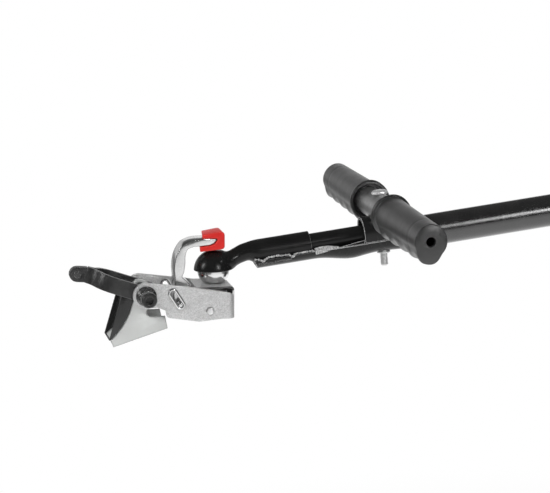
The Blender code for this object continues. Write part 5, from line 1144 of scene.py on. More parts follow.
coupler = cut_away(coupler, block(0.04, 0.05, 0.05), moved(SLEEVE_END + 0.02, 0, SLEEVE_UP))
piece("coupler_forged", coupler, COUPLER_BLACK, "drawbar", "coupler", DRAWBAR, 40)
inner_tube = lathe([(0.0075, 0.046), (0.0075, 0.124), (0.0060, 0.124), (0.0060, 0.046)], 64, ring=True)
piece("inner_tube", inner_tube, COUPLER_BLACK, "drawbar", "support_tube",
      DRAWBAR @ moved(0, 0, SLEEVE_UP) @ ALONG_X)

# %% [markdown]
# ## Drawbar
# The main tube is pressed flat into a trough in front, where it cradles the sleeve, and is bent over
# the bicycle's wheel into the receiver. Its sections change from a crescent to a circle, so it is
# skinned over a row of them. The drawing follows the same rule as the solid, with far more points.

# %% Drawbar tube
TUBE_RADIUS, TUBE_WALL, AXIS_UP = 0.0127, 0.0015, 0.0036
HALF_POINTS = 28


def ease(value):
    value = min(max(value, 0.0), 1.0)
    return value * value * (3 - 2 * value)


def pinched(along):
    reach = 0.030 if along < 0.132 else 0.045
    return 0.0027 * ease(1 - abs(along - 0.132) / reach)


def trough_section(centre, flip, end_share, press):
    """The crescent at flip -1 opens to a circle at flip 1, as (sideways, up)."""
    inside = SLEEVE_RADIUS + GAP
    radius = inside + (TUBE_RADIUS - inside) * (flip + 1) / 2
    rim = math.asin(centre / TUBE_RADIUS)
    lower = arc((0, 0), TUBE_RADIUS, 180 - math.degrees(rim), math.degrees(rim), HALF_POINTS)
    ring = [(y, centre - z) for y, z in lower]
    first = math.asin(centre / inside)
    first = math.degrees(first + (math.pi / HALF_POINTS - first) * end_share)
    upper = arc((0, 0), radius, first, 180 - first, HALF_POINTS - 2)
    ring += [(y, centre + flip * z) for y, z in upper]
    return [(y, up * (1 - press / TUBE_RADIUS)) for y, up in ring]


stations = [(0.0314, SLEEVE_UP - AXIS_UP, -1.0, 0.0)]
for i in range(13):
    share = i / 12
    stations.append((0.080 + 0.036 * share, (SLEEVE_UP - AXIS_UP) * (1 - ease(share)), -1.0, 0.0))
for i in range(1, 12):
    stations.append((0.116 + 0.034 * i / 12, 0.0, -1.0, 0.0))
for i in range(13):
    share = i / 12
    stations.append((0.150 + 0.022 * share, 0.0, 2 * share - 1, share))
outside = []
for place, centre, flip, end_share in stations:
    rake = 0.003 / (TUBE_RADIUS - centre) if place == 0.0314 else 0.0
    outside.append([
        DRAWBAR @ Vector((place - rake * min(up, 0.0), y, AXIS_UP + up))
        for y, up in trough_section(centre, flip, end_share, pinched(place))
    ])

receiver_low, receiver_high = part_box("receiver_tube")
RECEIVER_OUT = (receiver_high.y - receiver_low.y) / 2
RECEIVER_AXIS = receiver_high.z - RECEIVER_OUT
_, drawbar_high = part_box("drawbar_tube")


def bent_route(corners, radii, steps):
    """Points and directions of straight runs joined by arcs, in the XZ plane."""
    route = [(corners[0], (corners[1] - corners[0]).normalized())]
    for i, radius in enumerate(radii):
        arrive = (corners[i + 1] - corners[i]).normalized()
        leave = (corners[i + 2] - corners[i + 1]).normalized()
        turn = math.atan2(arrive.x * leave.y - arrive.y * leave.x, arrive.dot(leave))
        start = corners[i + 1] - arrive * radius * math.tan(abs(turn) / 2)
        centre = start + Vector((-arrive.y, arrive.x)) * radius * math.copysign(1, turn)
        for j in range(steps + 1):
            swing = Matrix.Rotation(turn * j / steps, 2)
            route.append((centre + swing @ (start - centre), swing @ arrive))
    route.append((corners[-1], leave))
    return route


def in_side_view(along, up):
    spot = DRAWBAR @ Vector((along, 0, up))
    return Vector((spot.x, spot.z))


corners = [
    in_side_view(0.182, AXIS_UP), in_side_view(0.579, AXIS_UP),
    Vector((receiver_low.x - 0.135, RECEIVER_AXIS)), Vector((drawbar_high.x, RECEIVER_AXIS)),
]
inside = []
for place, direction in bent_route(corners, (0.150, 0.110), 24):
    up = Vector((-direction.y, direction.x))
    round_section = trough_section(0.0, 1.0, 1.0, 0.0)
    for row, scale in ((outside, 1.0), (inside, 1 - TUBE_WALL / TUBE_RADIUS)):
        row.append([
            Vector((place.x + up.x * h * scale, y * scale, place.y + up.y * h * scale))
            for y, h in round_section
        ])
tube = skin(outside + inside[::-1])
drawbar = piece("drawbar_bent", tube, BLACK_GLOSS, "drawbar", "drawbar_tube", sharp=50)
drawbar.data.materials.append(RIM_HIGHLIGHT_BLACK)
drawbar.data.materials.append(COUPLER_BLACK)
# Faces of the trough take the black with painted rim highlights, and those in front of it the coupler
# black.
for limit in (0.156, 0.079):
    edge = (DRAWBAR @ Vector((limit, 0, 0))).x
    for face in drawbar.data.polygons:
        face.material_index += int(face.center.x < edge)

# %% [markdown]
# ## Handle
# A short cross tube with two rubber grips turns the trailer into a hand cart. A sheet steel saddle
# carries it, and a long bolt with an oval head goes through tube, saddle and drawbar into a rivet
# nut. The grips are moulded rubber with a flange, a row of finger bumps underneath and a blunt
# ridge, so their section is drawn once and its ridge swells along the grip.

# %% Saddle, cross tube, bolt and rivet nut
rim = AXIS_UP + GAP
arch = [(0.0120, rim)] + arc((0, 0.0106), 0.0120, 0, 180, 28) + [(-0.0120, rim), (-0.0100, rim)]
arch += arc((0, 0.0106), 0.0100, 180, 0, 28) + [(0.0100, rim)]
SADDLE_AT, SADDLE_LONG = 0.1367, 0.0326
saddle = placed(plate(arch, SADDLE_LONG, edge=0), moved(SADDLE_AT, 0, 0) @ turned(90, "Z") @ ALONG_Y)
saddle = cut_away(saddle, bar(0.0114, -0.04, 0.04, 64), DRAWBAR.inverted() @ HANDLE @ ALONG_Y)
saddle = bevelled(saddle, 0.0004, 2, 40)
# The saddle's bright edges are a painted highlight.
piece("saddle_pressed", saddle, RIM_HIGHLIGHT_BLACK, "drawbar", "handle_saddle", DRAWBAR, 45)

CROSS_OUT, CROSS_IN, CROSS_HALF = 0.0111, 0.0096, 0.146
cross = pipe(CROSS_OUT, CROSS_IN, CROSS_HALF, 0.0003)
piece("cross_tube", cross, HANDLE_GREY, "drawbar", "handle_tube", HANDLE @ ALONG_Y)

under = AXIS_UP - TUBE_RADIUS + pinched(0.1365) - GAP - HANDLE_HEIGHT
end = -0.0186 - HANDLE_HEIGHT
shank = lathe([(0, 0.0116), (0.003, 0.0116)] + thread(0.003, end + 0.0006, end + 0.016, 0.001)
              + [(0.0022, end), (0, end)], 40)
dome = []
for share, rise in ((0.94, 0.0), (1.0, 0.0006), (1.0, 0.0012), (0.93, 0.0021), (0.78, 0.0028),
                    (0.5, 0.0032)):
    dome.append([(x * share, y * share, 0.0114 + rise) for x, y in oblong((0, 0), 0.013, 0.0094, 0, 20)])
dimple = lathe([(0, 0.0126), (0.0010, 0.0126), (0.0014, 0.02), (0, 0.02)], 24)
head = cut_away(skin(dome), dimple, moved(-0.0021, -0.0012, 0))
piece("long_bolt", joined(shank, head), BOLT_ZINC, "drawbar", "handle_bolt", HANDLE, 35)
nut = lathe(rounded([
    (0.0042, -0.002 - HANDLE_HEIGHT), (0.0042, under), (0.0052, under), (0.0052, under - 0.0013),
    (0.0033, under - 0.0013), (0.0033, -0.002 - HANDLE_HEIGHT),
], 0.0003), 48, ring=True)
piece("rivet_nut_turned", nut, BOLT_ZINC, "drawbar", "rivet_nut", HANDLE)

# %% Rubber grips
GRIP_FROM, GRIP_LENGTH, GRIP_BORE = 0.033, 0.117, 0.0112
GRIP_END = GRIP_FROM + GRIP_LENGTH


def grip_section(radius, ridge):
    """A slightly high section with a blunt ridge below, smooth all round."""
    ring = []
    for turn in equal_turns(72):
        x, z = math.sin(turn), math.cos(turn)
        if z > 0:
            ring.append((x * radius, z * (radius + 0.001 * z * (ridge > 0))))
            continue
        below = ease((-z - 0.55) / 0.45)
        ring.append((x * radius * (1 + 0.10 * below), z * radius - below * ridge))
    return ring


def grip_rings():
    """Stations from the flange to the end, as (place, radius, ridge)."""
    yield 0.0, 0.0150, 0.0
    yield 0.0004, 0.0160, 0.0
    yield 0.0010, 0.0163, 0.0
    yield 0.0026, 0.0163, 0.0
    yield 0.0033, 0.0158, 0.0004
    yield 0.0040, 0.0145, 0.0012
    yield 0.0046, 0.0137, 0.0020
    count = 64
    for i in range(count + 1):
        share = i / count
        place = 0.0070 + (GRIP_LENGTH - 0.0010 - 0.0070) * share
        wave = 0.5 + 0.5 * math.cos(2 * math.pi * 4 * max(0.0, place - 0.0105) / (GRIP_LENGTH - 0.0113))
        ridge = 0.0022 + 0.0023 * wave * ease(place / 0.0105)
        radius = 0.0136 - 0.0013 * share
        if 0.0 < place - 0.094 < 0.004:
            radius -= 0.00025 * math.sin(math.pi * (place - 0.094) / 0.004)
        yield place, radius, ridge
    yield GRIP_LENGTH - 0.0004, 0.0122, 0.0044
    yield GRIP_LENGTH, 0.0117, 0.0041


for side, suffix in SIDES:
    rings = []
    for place, radius, ridge in grip_rings():
        y = side * (GRIP_FROM + place)
        rings.append([(x, y, z) for x, z in grip_section(radius, ridge)])
    round_points = [(math.sin(t), math.cos(t)) for t in equal_turns(72)]
    hole = []
    for y, radius in ((GRIP_END - 0.0005, 0.0039), (GRIP_END - 0.0012, 0.0034),
                      (CROSS_HALF + 0.0004, 0.0034), (CROSS_HALF + GAP, GRIP_BORE),
                      (GRIP_FROM + 0.006, GRIP_BORE), (GRIP_FROM + 0.0058, 0.0138), (GRIP_FROM, 0.0143)):
        hole.append([(x * radius, side * y, z * radius) for x, z in round_points])
    grip = skin(rings + hole, closed_along=True)
    piece("grip_moulded_" + suffix, grip, RUBBER, "drawbar", "grip_" + suffix,
          HANDLE @ turned(13, "Y"), 45)

# %% [markdown]
# ## Receiver and its clamp knob
# The drawbar slides in a short wide tube under the frame, and a six-lobed knob presses a stud on it.
# The boss that takes the stud is welded on.

# %% Receiver and knob
knob_joint = Vector(JOINTS["knob_turn"]["pos_m"])
at_knob = Matrix.Translation(knob_joint)
length = receiver_high.x - receiver_low.x
boss_radius, boss_top = 0.008, RECEIVER_AXIS - RECEIVER_OUT + 0.0015 - knob_joint.z
receiver = placed(pipe(RECEIVER_OUT, RECEIVER_OUT - 0.0026, length / 2, 0.0005, 96),
                  moved((receiver_high.x + receiver_low.x) / 2, 0, RECEIVER_AXIS) @ ALONG_X)
boss = lathe(rounded([(0, boss_top), (boss_radius, boss_top), (boss_radius, GAP), (0, GAP)],
                     0.0006, closed=False), 48)
receiver = combine(receiver, placed(boss, at_knob))
receiver = cut_away(receiver, bar(0.0043, -0.01, 0.014, 32), at_knob)
piece("receiver", receiver, BLACK_GLOSS, "chassis", "receiver_tube")

LOBES, LOBE_REACH, LOBE_DEPTH = 6, 0.018, 0.003
lobes = [(t, LOBE_REACH - LOBE_DEPTH * (0.5 - 0.5 * math.cos(LOBES * t))) for t in equal_turns(120)]
rings = []
for z, shrink in ((0, 0.0022), (-0.0006, 0.0010), (-0.0016, 0.0003), (-0.003, 0), (-0.011, 0),
                  (-0.0125, 0.0004), (-0.0135, 0.0012), (-0.014, 0.0028), (-0.014, 0.0100),
                  (-0.0128, 0.0110)):
    rings.append([((r - shrink) * math.cos(t), (r - shrink) * math.sin(t), z) for t, r in lobes])
stud_top = RECEIVER_AXIS - TUBE_RADIUS - GAP - knob_joint.z
stud = lathe([(0, stud_top)] + thread(0.004, -0.001, stud_top, 0.00125) + [(0, -0.001)], 40)
piece("knob_moulded", joined(skin(rings), stud), MOULDED, "knob", "clamp_knob",
      at_knob, 40)

# %% [markdown]
# ## Frame
# One tube is bent round the front and both sides, and two straight tubes cross it: one at the rear
# and the axle tube under the tub. Their joints are welded, and a weld is a row of overlapping beads
# along a line. Geometry Nodes place small squashed beads on a curve, each sized and shifted a little
# differently by a fixed seed, which no single swept shape would give.

# %% Geometry Nodes: a weld along a line
weld = bpy.data.node_groups.new("weld along a line", "GeometryNodeTree")
weld.interface.new_socket("Geometry", in_out="OUTPUT", socket_type="NodeSocketGeometry")
for label, kind, value in (("Line", "NodeSocketObject", None), ("Bead", "NodeSocketFloat", 0.002),
                           ("Pitch", "NodeSocketFloat", 0.001), ("Unevenness", "NodeSocketFloat", 0.3),
                           ("Finish", "NodeSocketMaterial", None)):
    socket = weld.interface.new_socket(label, in_out="INPUT", socket_type=kind)
    if value is not None:
        socket.default_value = value
given = weld.nodes.new("NodeGroupInput").outputs
leave = weld.nodes.new("NodeGroupOutput").inputs
BEAD_FLATNESS, BEAD_NUDGE = 0.55, 0.00025
source = place_node(weld, "GeometryNodeObjectInfo", Object=given["Line"])
points = place_node(
    weld, "GeometryNodeCurveToPoints", {"mode": "LENGTH"}, Curve=source.outputs["Geometry"],
    Length=given["Pitch"],
)
bead = place_node(weld, "GeometryNodeMeshIcoSphere", Subdivisions=2, Radius=given["Bead"])
least = arithmetic(weld, "SUBTRACT", 1.0, given["Unevenness"])
most = arithmetic(weld, "ADD", 1.0, given["Unevenness"])
size = place_node(weld, "FunctionNodeRandomValue", {"data_type": "FLOAT"}, Min=least, Max=most, Seed=7)
thin = place_node(
    weld, "ShaderNodeCombineXYZ", X=size.outputs[1], Y=size.outputs[1], Z=BEAD_FLATNESS
)
copies = place_node(
    weld, "GeometryNodeInstanceOnPoints", Points=points.outputs["Points"],
    Instance=bead.outputs["Mesh"], Rotation=points.outputs["Rotation"], Scale=thin.outputs[0],
)
nudge = place_node(
    weld, "FunctionNodeRandomValue", {"data_type": "FLOAT_VECTOR"}, Min=(-BEAD_NUDGE,) * 3,
    Max=(BEAD_NUDGE,) * 3, Seed=11,
)
shifted = place_node(
    weld, "GeometryNodeSetPosition", Geometry=copies.outputs["Instances"], Offset=nudge.outputs[0]
)
finished(weld, shifted.outputs["Geometry"], given["Finish"], leave["Geometry"])


def weld_beads(points, bead=0.0016, pitch=0.0011, unevenness=0.25, closed=False):
    """Beads of weld along a line of points."""
    line = bpy.data.curves.new("line", "CURVE")
    line.dimensions = "3D"
    spline = line.splines.new("POLY")
    spline.points.add(len(points) - 1)
    for spot, place in zip(spline.points, points):
        spot.co = (*place, 1)
    spline.use_cyclic_u = closed
    item = in_scene("line", line)
    shape = made_by(weld, Line=item, Bead=bead, Pitch=pitch, Unevenness=unevenness,
                    Finish=BLACK_GLOSS)
    bpy.data.objects.remove(item)
    return shape


print("tree:", weld.name)

# %% [markdown]
# ## Weld between sleeve and trough
# This weld was laid by hand: it wanders along the notch between the sleeve and the rim and runs down
# the wall in two drips. Behind the sleeve the filler is ground flat and dull, and from there a lip
# turns up along the rim. All of it is drawn in millimetres in the drawbar's frame.

# %% Weld, ground filler and lip on the trough
def in_drawbar(along, across, up, side):
    """A point given in millimetres for the left side, or its mirror on the right side."""
    return DRAWBAR @ (Vector((along, side * across, up)) / 1000)


WELD_LINE = (
    (31.8, 9.6, 4.8), (35.0, 9.9, 4.4), (37.0, 11.2, 3.4), (38.2, 11.8, 2.9), (39.5, 11.2, 3.6),
    (42.0, 9.9, 4.7), (48.0, 9.5, 5.1), (54.0, 9.6, 4.6), (59.0, 9.8, 4.3), (60.8, 11.4, 3.3),
    (61.8, 11.9, 2.7), (62.9, 11.2, 3.6), (65.0, 9.8, 4.3), (72.0, 9.8, 4.3), (78.0, 9.7, 4.5),
    (79.4, 10.4, 3.4),
)
RUN_LINE = ((34.0, 12.4, 1.6), (44.0, 12.5, 1.0), (52.0, 12.3, 1.6), (60.0, 12.4, 1.2))
FILLER = (
    (79.8, ((12.2, 1.4), (11.6, 3.6), (8.8, 6.0), (8.2, 3.4))),
    (86.0, ((12.1, 1.9), (11.5, 4.0), (8.6, 6.6), (8.0, 3.4))),
    (91.0, ((11.9, 2.8), (11.3, 4.4), (8.7, 6.2), (8.2, 3.4))),
    (99.0, ((11.3, 3.8), (11.0, 4.4), (10.2, 4.7), (10.0, 3.4))),
)
TROUGH_LIP = tuple(
    (along, ((11.4, 3.4), (10.9, up), (10.1, up), (10.0, 3.4)))
    for along, up in ((97.0, 3.7), (103.0, 4.3), (109.0, 5.0), (114.0, 5.7), (119.8, 6.2))
)
beads, runs, fillers, lips = [], [], [], []
for side, _ in SIDES:
    for line, shapes, size in ((WELD_LINE, beads, 0.0009), (RUN_LINE, runs, 0.0006)):
        points = [in_drawbar(*spot, side) for spot in line]
        shapes.append(weld_beads(points, size, 0.8 * size, 0.45))
    for rows, shapes in ((FILLER, fillers), (TROUGH_LIP, lips)):
        shapes.append(skin([[in_drawbar(along, y, z, side) for y, z in ring] for along, ring in rows]))
piece("trough_weld", joined(*beads), WELD_PAINTED_GLINTS, "drawbar", sharp=60)
piece("weld_runs", joined(*runs), BAND_BLACK, "drawbar", sharp=60)
piece("ground_filler", joined(*fillers), GROUND_WELD_WITH_PAINTED_HIGHLIGHT, "drawbar")
piece("trough_lip", joined(*lips), RIM_HIGHLIGHT_BLACK, "drawbar")

# %% Frame tubes with their welds
frame_low, frame_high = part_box("frame_tube")
RAIL = 0.0127
RAIL_Y = frame_high.y - RAIL
RAIL_Z = (frame_high.z + frame_low.z) / 2
FRONT_X = frame_low.x + RAIL
corner_points = [
    Vector((frame_high.x, -RAIL_Y)), Vector((FRONT_X, -RAIL_Y)), Vector((FRONT_X, RAIL_Y)),
    Vector((frame_high.x, RAIL_Y)),
]
route = bent_route(corner_points, (0.060, 0.060), 16)
shape = along_path([(p.x, p.y, RAIL_Z) for p, _ in route], RAIL, 48, bore=RAIL - TUBE_WALL)
piece("frame_bent", shape, BLACK_GLOSS, "chassis", "frame_tube")


def cross_pipe(node):
    """A straight tube along Y in the place of a CAD node, and its middle."""
    low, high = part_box(node)
    middle = (low + high) / 2
    shape = pipe(RAIL, RAIL - TUBE_WALL, (high.y - low.y) / 2, 0.0004)
    return placed(shape, Matrix.Translation(middle) @ ALONG_Y), middle


def saddle_ring(x, y, z, side):
    """The line where a cross tube's end meets the side of a rail."""
    line = []
    for turn in equal_turns(48):
        dx, dz = RAIL * math.cos(turn), RAIL * math.sin(turn)
        line.append((x + dx, y - side * math.sqrt(max(RAIL * RAIL - dz * dz, 0)), z + dz))
    return line


shape, middle = cross_pipe("rear_cross_tube")
rings = [weld_beads(saddle_ring(middle.x, side * RAIL_Y, middle.z, side), closed=True)
         for side in (-1, 1)]
piece("rear_cross_pipe", shape, BLACK_GLOSS, "chassis", "rear_cross_tube")
piece("rear_welds", joined(*rings), BLACK_GLOSS, "chassis", sharp=60)
shape, axle_middle = cross_pipe("axle_tube")
piece("axle_pipe", shape, BLACK_GLOSS, "chassis", "axle_tube")
lines = []
for side, _ in SIDES:
    for end in (-1, 1):
        line = []
        for i in range(17):
            swing = math.sin(math.radians(-50 + 100 * i / 16))
            line.append((axle_middle.x + end * (0.0035 + 0.0028 * abs(swing)),
                         side * RAIL_Y + 0.75 * RAIL * swing, axle_middle.z + RAIL + 0.0001))
        lines.append(weld_beads(line, 0.0021, 0.0013))
piece("axle_welds", joined(*lines), BLACK_GLOSS, "chassis", sharp=60)
for side, suffix in SIDES:
    low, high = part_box("axle_bush_" + suffix)
    bush = pipe(0.0109, 0.0063, (high.y - low.y) / 2, 0.0005, 48)
    piece("bush_" + suffix, bush, MOULDED, "chassis", "axle_bush_" + suffix,
          Matrix.Translation((low + high) / 2) @ ALONG_Y)

# %% [markdown]
# ## Reflectors
# The open ends of the rails are closed by red reflectors. A reflector shines because its back is a
# field of tiny three-sided corners. Cells of a honeycomb in the bump and a clear coat show this at
# the scale where it is seen.

# %% Reflectors
REFLECTOR = finish("red reflector", (0.42, 0.004, 0.006, 1), (0.60, 0.012, 0.014, 1), (0.08, 0.16),
                   grain=300, bump=0.5, coat=0.8)
tree, shader, colour, relief = FINISHES["red reflector"]
spot = place_node(tree, "ShaderNodeTexCoord")
cells = place_node(tree, "ShaderNodeTexVoronoi", Vector=spot.outputs["Object"], Scale=420.0,
                   Randomness=0.1)
link(tree, cells.outputs["Distance"], relief.inputs["Height"])
# Each cell's colour is brightened at random: painted glints from the tiny corners.
split = place_node(tree, "ShaderNodeSeparateColor", Color=cells.outputs["Color"])
glint = mixed_colour(tree, split.outputs[0], colour, (0.80, 0.05, 0.04, 1))
link(tree, glint, shader.inputs["Base Color"])
for side, suffix in SIDES:
    low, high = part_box("rear_reflector_" + suffix)
    outer = high.x - frame_high.x
    radius = (high.z - low.z) / 2
    inner = low.x - frame_high.x
    body = lathe([
        (0, outer - 0.0012), (radius - 0.0042, outer - 0.0012), (radius - 0.0034, outer - 0.0003),
        (radius - 0.0028, outer), (radius - 0.0012, outer), (radius - 0.0004, outer - 0.0004),
        (radius, outer - 0.0012), (radius, 0.0007), (radius - 0.0004, GAP), (0.0109, GAP),
        (0.0109, inner + 0.0008), (0.0101, inner), (0, inner),
    ], 96)
    piece("reflector_" + suffix, body, REFLECTOR, "chassis", "rear_reflector_" + suffix,
          moved(frame_high.x, side * RAIL_Y, RAIL_Z) @ ALONG_X, 35)

# %% [markdown]
# ## The tub
# The tub is moulded in one shot with a turned-out rim and shallow panels that stiffen its sides. Its
# shape follows a rule: every level is the same rounded rectangle, grown outwards, with the panels
# standing out of it. We skin rings up the outside, over the rim and down the inside, and round
# everything with more rings where the wall turns.

# %% Tub
tub_low, tub_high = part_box("tub")
TUB_X = (tub_low.x + tub_high.x) / 2
TUB_DEPTH, DRAFT, WALL, FLANGE, LIP = 0.250, 0.10, 0.003, 0.014, 0.012
FLOOR_LONG, FLOOR_WIDE, TUB_CORNER = 0.310, 0.185, 0.045
PANEL, PANEL_WIDE, PANEL_LOW, PANEL_HIGH = 0.005, 0.066, 0.030, 0.205


PANEL_SLOPE, PANEL_STEPS = 0.006, (0.0, 0.10, 0.5, 0.90, 1.0)


def panel_marks(half, count):
    """Places along a straight side, with how far the panel stands out there."""
    pitch = 2 * half / count
    for i in range(count):
        centre = -half + pitch * (i + 0.5)
        for foot, shares in ((centre - PANEL_WIDE / 2, PANEL_STEPS),
                             (centre + PANEL_WIDE / 2 - PANEL_SLOPE, PANEL_STEPS[::-1])):
            for step, share in enumerate(shares):
                yield foot + step / 4 * PANEL_SLOPE, share


LONG_MARKS = list(panel_marks(FLOOR_LONG - TUB_CORNER, 4))
SHORT_MARKS = list(panel_marks(FLOOR_WIDE - TUB_CORNER, 2))


def tub_ring(grow, height, stand_out):
    """One level of the tub, grown outwards, with its panels."""
    straight = (FLOOR_LONG - TUB_CORNER, FLOOR_WIDE - TUB_CORNER)
    ring = []
    for quarter in range(4):
        marks, half, reach = (
            (SHORT_MARKS, straight, FLOOR_LONG + grow) if quarter % 2 == 0
            else (LONG_MARKS, straight[::-1], FLOOR_WIDE + grow)
        )
        swing = Matrix.Rotation(quarter * math.pi / 2, 2)
        side = [Vector((reach + stand_out * share, along)) for along, share in marks]
        corner = [Vector(p) for p in arc(half, TUB_CORNER + grow, 0, 90, 14)]
        ring += [swing @ p for p in side + corner]
    return [(p.x, p.y, height) for p in ring]


def panel_share(height):
    """How far the panels stand out at a height: none below and above them."""
    return ease((height - PANEL_LOW + 0.012) / 0.012) * ease((PANEL_HIGH + 0.018 - height) / 0.018)


rings = [tub_ring(-0.006, 0.0, 0.0), tub_ring(-0.0022, 0.0006, 0.0), tub_ring(-0.0004, 0.0026, 0.0)]
heights = [0.006, 0.012, 0.018, 0.021, 0.024, 0.027, 0.030, 0.06, 0.12, 0.18, 0.205, 0.2095, 0.214,
           0.2185, 0.223, 0.240]
for h in heights:
    rings.append(tub_ring(h * DRAFT, h, PANEL * panel_share(h)))
rim_grow = TUB_DEPTH * DRAFT
edge_grow = rim_grow + FLANGE
under, flange, lip = TUB_DEPTH - WALL, edge_grow - WALL, TUB_DEPTH - LIP
for grow, height in (
    (rim_grow - 0.0003, under - 0.0022), (rim_grow + 0.0006, under - 0.0006), (rim_grow + 0.0022, under),
    (flange - 0.001, under), (flange, under - 0.001), (flange, lip + 0.0005), (flange + 0.0006, lip),
    (edge_grow - 0.0006, lip), (edge_grow, lip + 0.0006), (edge_grow, TUB_DEPTH - 0.0030),
    (edge_grow - 0.0005, TUB_DEPTH - 0.0012), (edge_grow - 0.0015, TUB_DEPTH - 0.0003),
    (edge_grow - 0.0030, TUB_DEPTH), (rim_grow - WALL + 0.0022, TUB_DEPTH),
    (rim_grow - WALL + 0.0006, TUB_DEPTH - 0.0006), (rim_grow - WALL - 0.0001, TUB_DEPTH - 0.0022),
):
    rings.append(tub_ring(grow, height, 0))
for h in reversed(heights[1:]):
    rings.append(tub_ring(h * DRAFT - WALL, h, PANEL * panel_share(h)))
rings += [
    tub_ring(-WALL + 0.0005, 0.0075, 0), tub_ring(-WALL - 0.0010, 0.0045, 0),
    tub_ring(-WALL - 0.0035, WALL + 0.0003, 0), tub_ring(-WALL - 0.0060, WALL, 0),
]
tub = placed(skin(rings), moved(TUB_X, 0, tub_low.z))
bolt_nodes = [f"tub_bolt_{i}" for i in range(1, 5)]
for node in bolt_nodes:
    low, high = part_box(node)
    sink = lathe([(0, 0.01), (0.0058, 0.01), (0.0058, -0.0003), (0.0033, -0.0028), (0.0033, -0.02),
                  (0, -0.02)], 40)
    tub = cut_away(tub, sink, moved((low.x + high.x) / 2, (low.y + high.y) / 2, high.z))
piece("tub_moulded", tub, TUB_PLASTIC, "chassis", "tub", sharp=40)
for i, node in enumerate(bolt_nodes):
    low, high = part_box(node)
    screw = lathe([(0, 0), (0.0053, 0), (0.0055, -0.0004), (0.003, -0.0028)]
                  + thread(0.003, low.z - high.z + 0.0004, -0.004, 0.001) + [(0, low.z - high.z)], 40)
    screw = cut_away(screw, hexagon(0.0034, 0.004))
    piece(f"tub_screw_{i + 1}", screw, BOLT_ZINC, "chassis", node,
          moved((low.x + high.x) / 2, (low.y + high.y) / 2, high.z), 35)

# %% [markdown]
# ## Parking stand
# A bent leg folds on a rod between two ears, and a rubber shoe keeps it from slipping.

# %% Stand
hinge = Vector(JOINTS["stand_fold"]["pos_m"])
LEAN = math.radians(8)
STAND = Matrix.Translation(hinge) @ Matrix.Rotation(LEAN, 4, "Y")
piece("stand_ears", softened("stand_bracket", 0.0009), BLACK_GLOSS, "chassis", "stand_bracket")
leg_radius, bend = 0.008, 0.028
leg_y = 0.058 - GAP - leg_radius
drop = (hinge.z - 0.0105) / math.cos(LEAN)
left = arc((-leg_y + bend, -drop + bend), bend, 180, 270, 16)
leg_route = [(-leg_y, 0.010), (-leg_y, 0.0)] + left + [(-y, z) for y, z in reversed(left)]
leg_route += [(leg_y, 0.0), (leg_y, 0.010)]
leg = along_path([(0, y, z) for y, z in leg_route], leg_radius, 40)
piece("leg_bent", leg, BLACK_GLOSS, "stand", "stand_leg", STAND, 50)
ribbed = [(0.0083, -0.015), (0.0096, -0.015), (0.0103, -0.0143)]
for i in range(6):
    low = -0.0125 + i * 0.0043
    ribbed += [(0.0105, low), (0.0105, low + 0.0022), (0.0098, low + 0.0028), (0.0098, low + 0.0037)]
ribbed += [(0.0103, 0.0143), (0.0096, 0.015), (0.0083, 0.015)]
piece("shoe_rubber", lathe(ribbed, 64, ring=True), RUBBER, "stand", "stand_shoe",
      STAND @ moved(0, 0, -drop) @ ALONG_Y, 35)
_, rod_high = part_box("stand_rod")
head = rod_high.y
rod = lathe(mirrored([(0, head), (0.0035, head - 0.0003), (0.0052, head - 0.0012),
                      (0.006, head - 0.0026), (0.006, head - 0.0035), (0.003, head - 0.0035)]), 48)
piece("fold_rod", rod, BOLT_ZINC, "chassis", "stand_rod", Matrix.Translation(hinge) @ ALONG_Y)

# %% [markdown]
# ## Wheels
# A 16 inch wheel: an aluminium rim, a hub with two flanges, twenty spokes with their nipples, and a
# tyre with a block tread. The ring tree from before lays the blocks out round the axle, and a loop
# laces the spokes.

# %% Tyre profile and tread blocks
SEAT = 0.1530
TYRE_OUT = 0.1985
MIDDLE = (SEAT + TYRE_OUT) / 2
TYRE_HALF = 0.0235
TREAD_COUNT = 96
side_wall = [
    (SEAT, 0.0136), (SEAT + 0.0058, 0.0136), (SEAT + 0.0080, 0.0160), (SEAT + 0.0116, 0.0195),
    (SEAT + 0.0160, 0.0223), (MIDDLE, TYRE_HALF), (MIDDLE + 0.0050, 0.0232),
    (MIDDLE + 0.0100, 0.0215), (MIDDLE + 0.0148, 0.0180), (TYRE_OUT - 0.0046, 0.0135),
    (TYRE_OUT - 0.0026, 0.0080), (TYRE_OUT - 0.0018, 0.0),
]


def tyre_profile():
    """Outer line from one bead over the tread to the other, then the inner line back."""
    outer = curve_through(side_wall, 4)
    ridged = []
    for radius, across in outer:
        lift = 0.0
        if SEAT + 0.0095 < radius < SEAT + 0.0110 or SEAT + 0.0135 < radius < SEAT + 0.0143:
            lift = 0.0005
        ridged.append((radius, across + lift))
    hollow = TYRE_HALF - 0.0038
    inner = [(SEAT, 0.0098), (MIDDLE - 0.008, hollow * 0.92), (MIDDLE, hollow),
             (MIDDLE + 0.010, hollow * 0.80), (TYRE_OUT - 0.0050, hollow * 0.4),
             (TYRE_OUT - 0.0044, 0.0)]
    return mirrored(ridged) + mirrored(curve_through(inner, 3))[::-1]


def tread_block(length, width, height, skew=0.0):
    """One block of the tread: X outwards, Y round the wheel, Z across it."""
    shape = bmesh.new()
    corners = []
    for level, shrink in ((0.0, 1.0), (height, 0.84)):
        for a, b in ((-1, -1), (1, -1), (1, 1), (-1, 1)):
            corners.append(shape.verts.new((
                level, (a * length / 2 + b * skew) * shrink, b * width / 2 * shrink
            )))
    for loop in ((3, 2, 1, 0), (4, 5, 6, 7), (0, 1, 5, 4), (1, 2, 6, 5), (2, 3, 7, 6), (3, 0, 4, 7)):
        shape.faces.new([corners[i] for i in loop])
    return shape


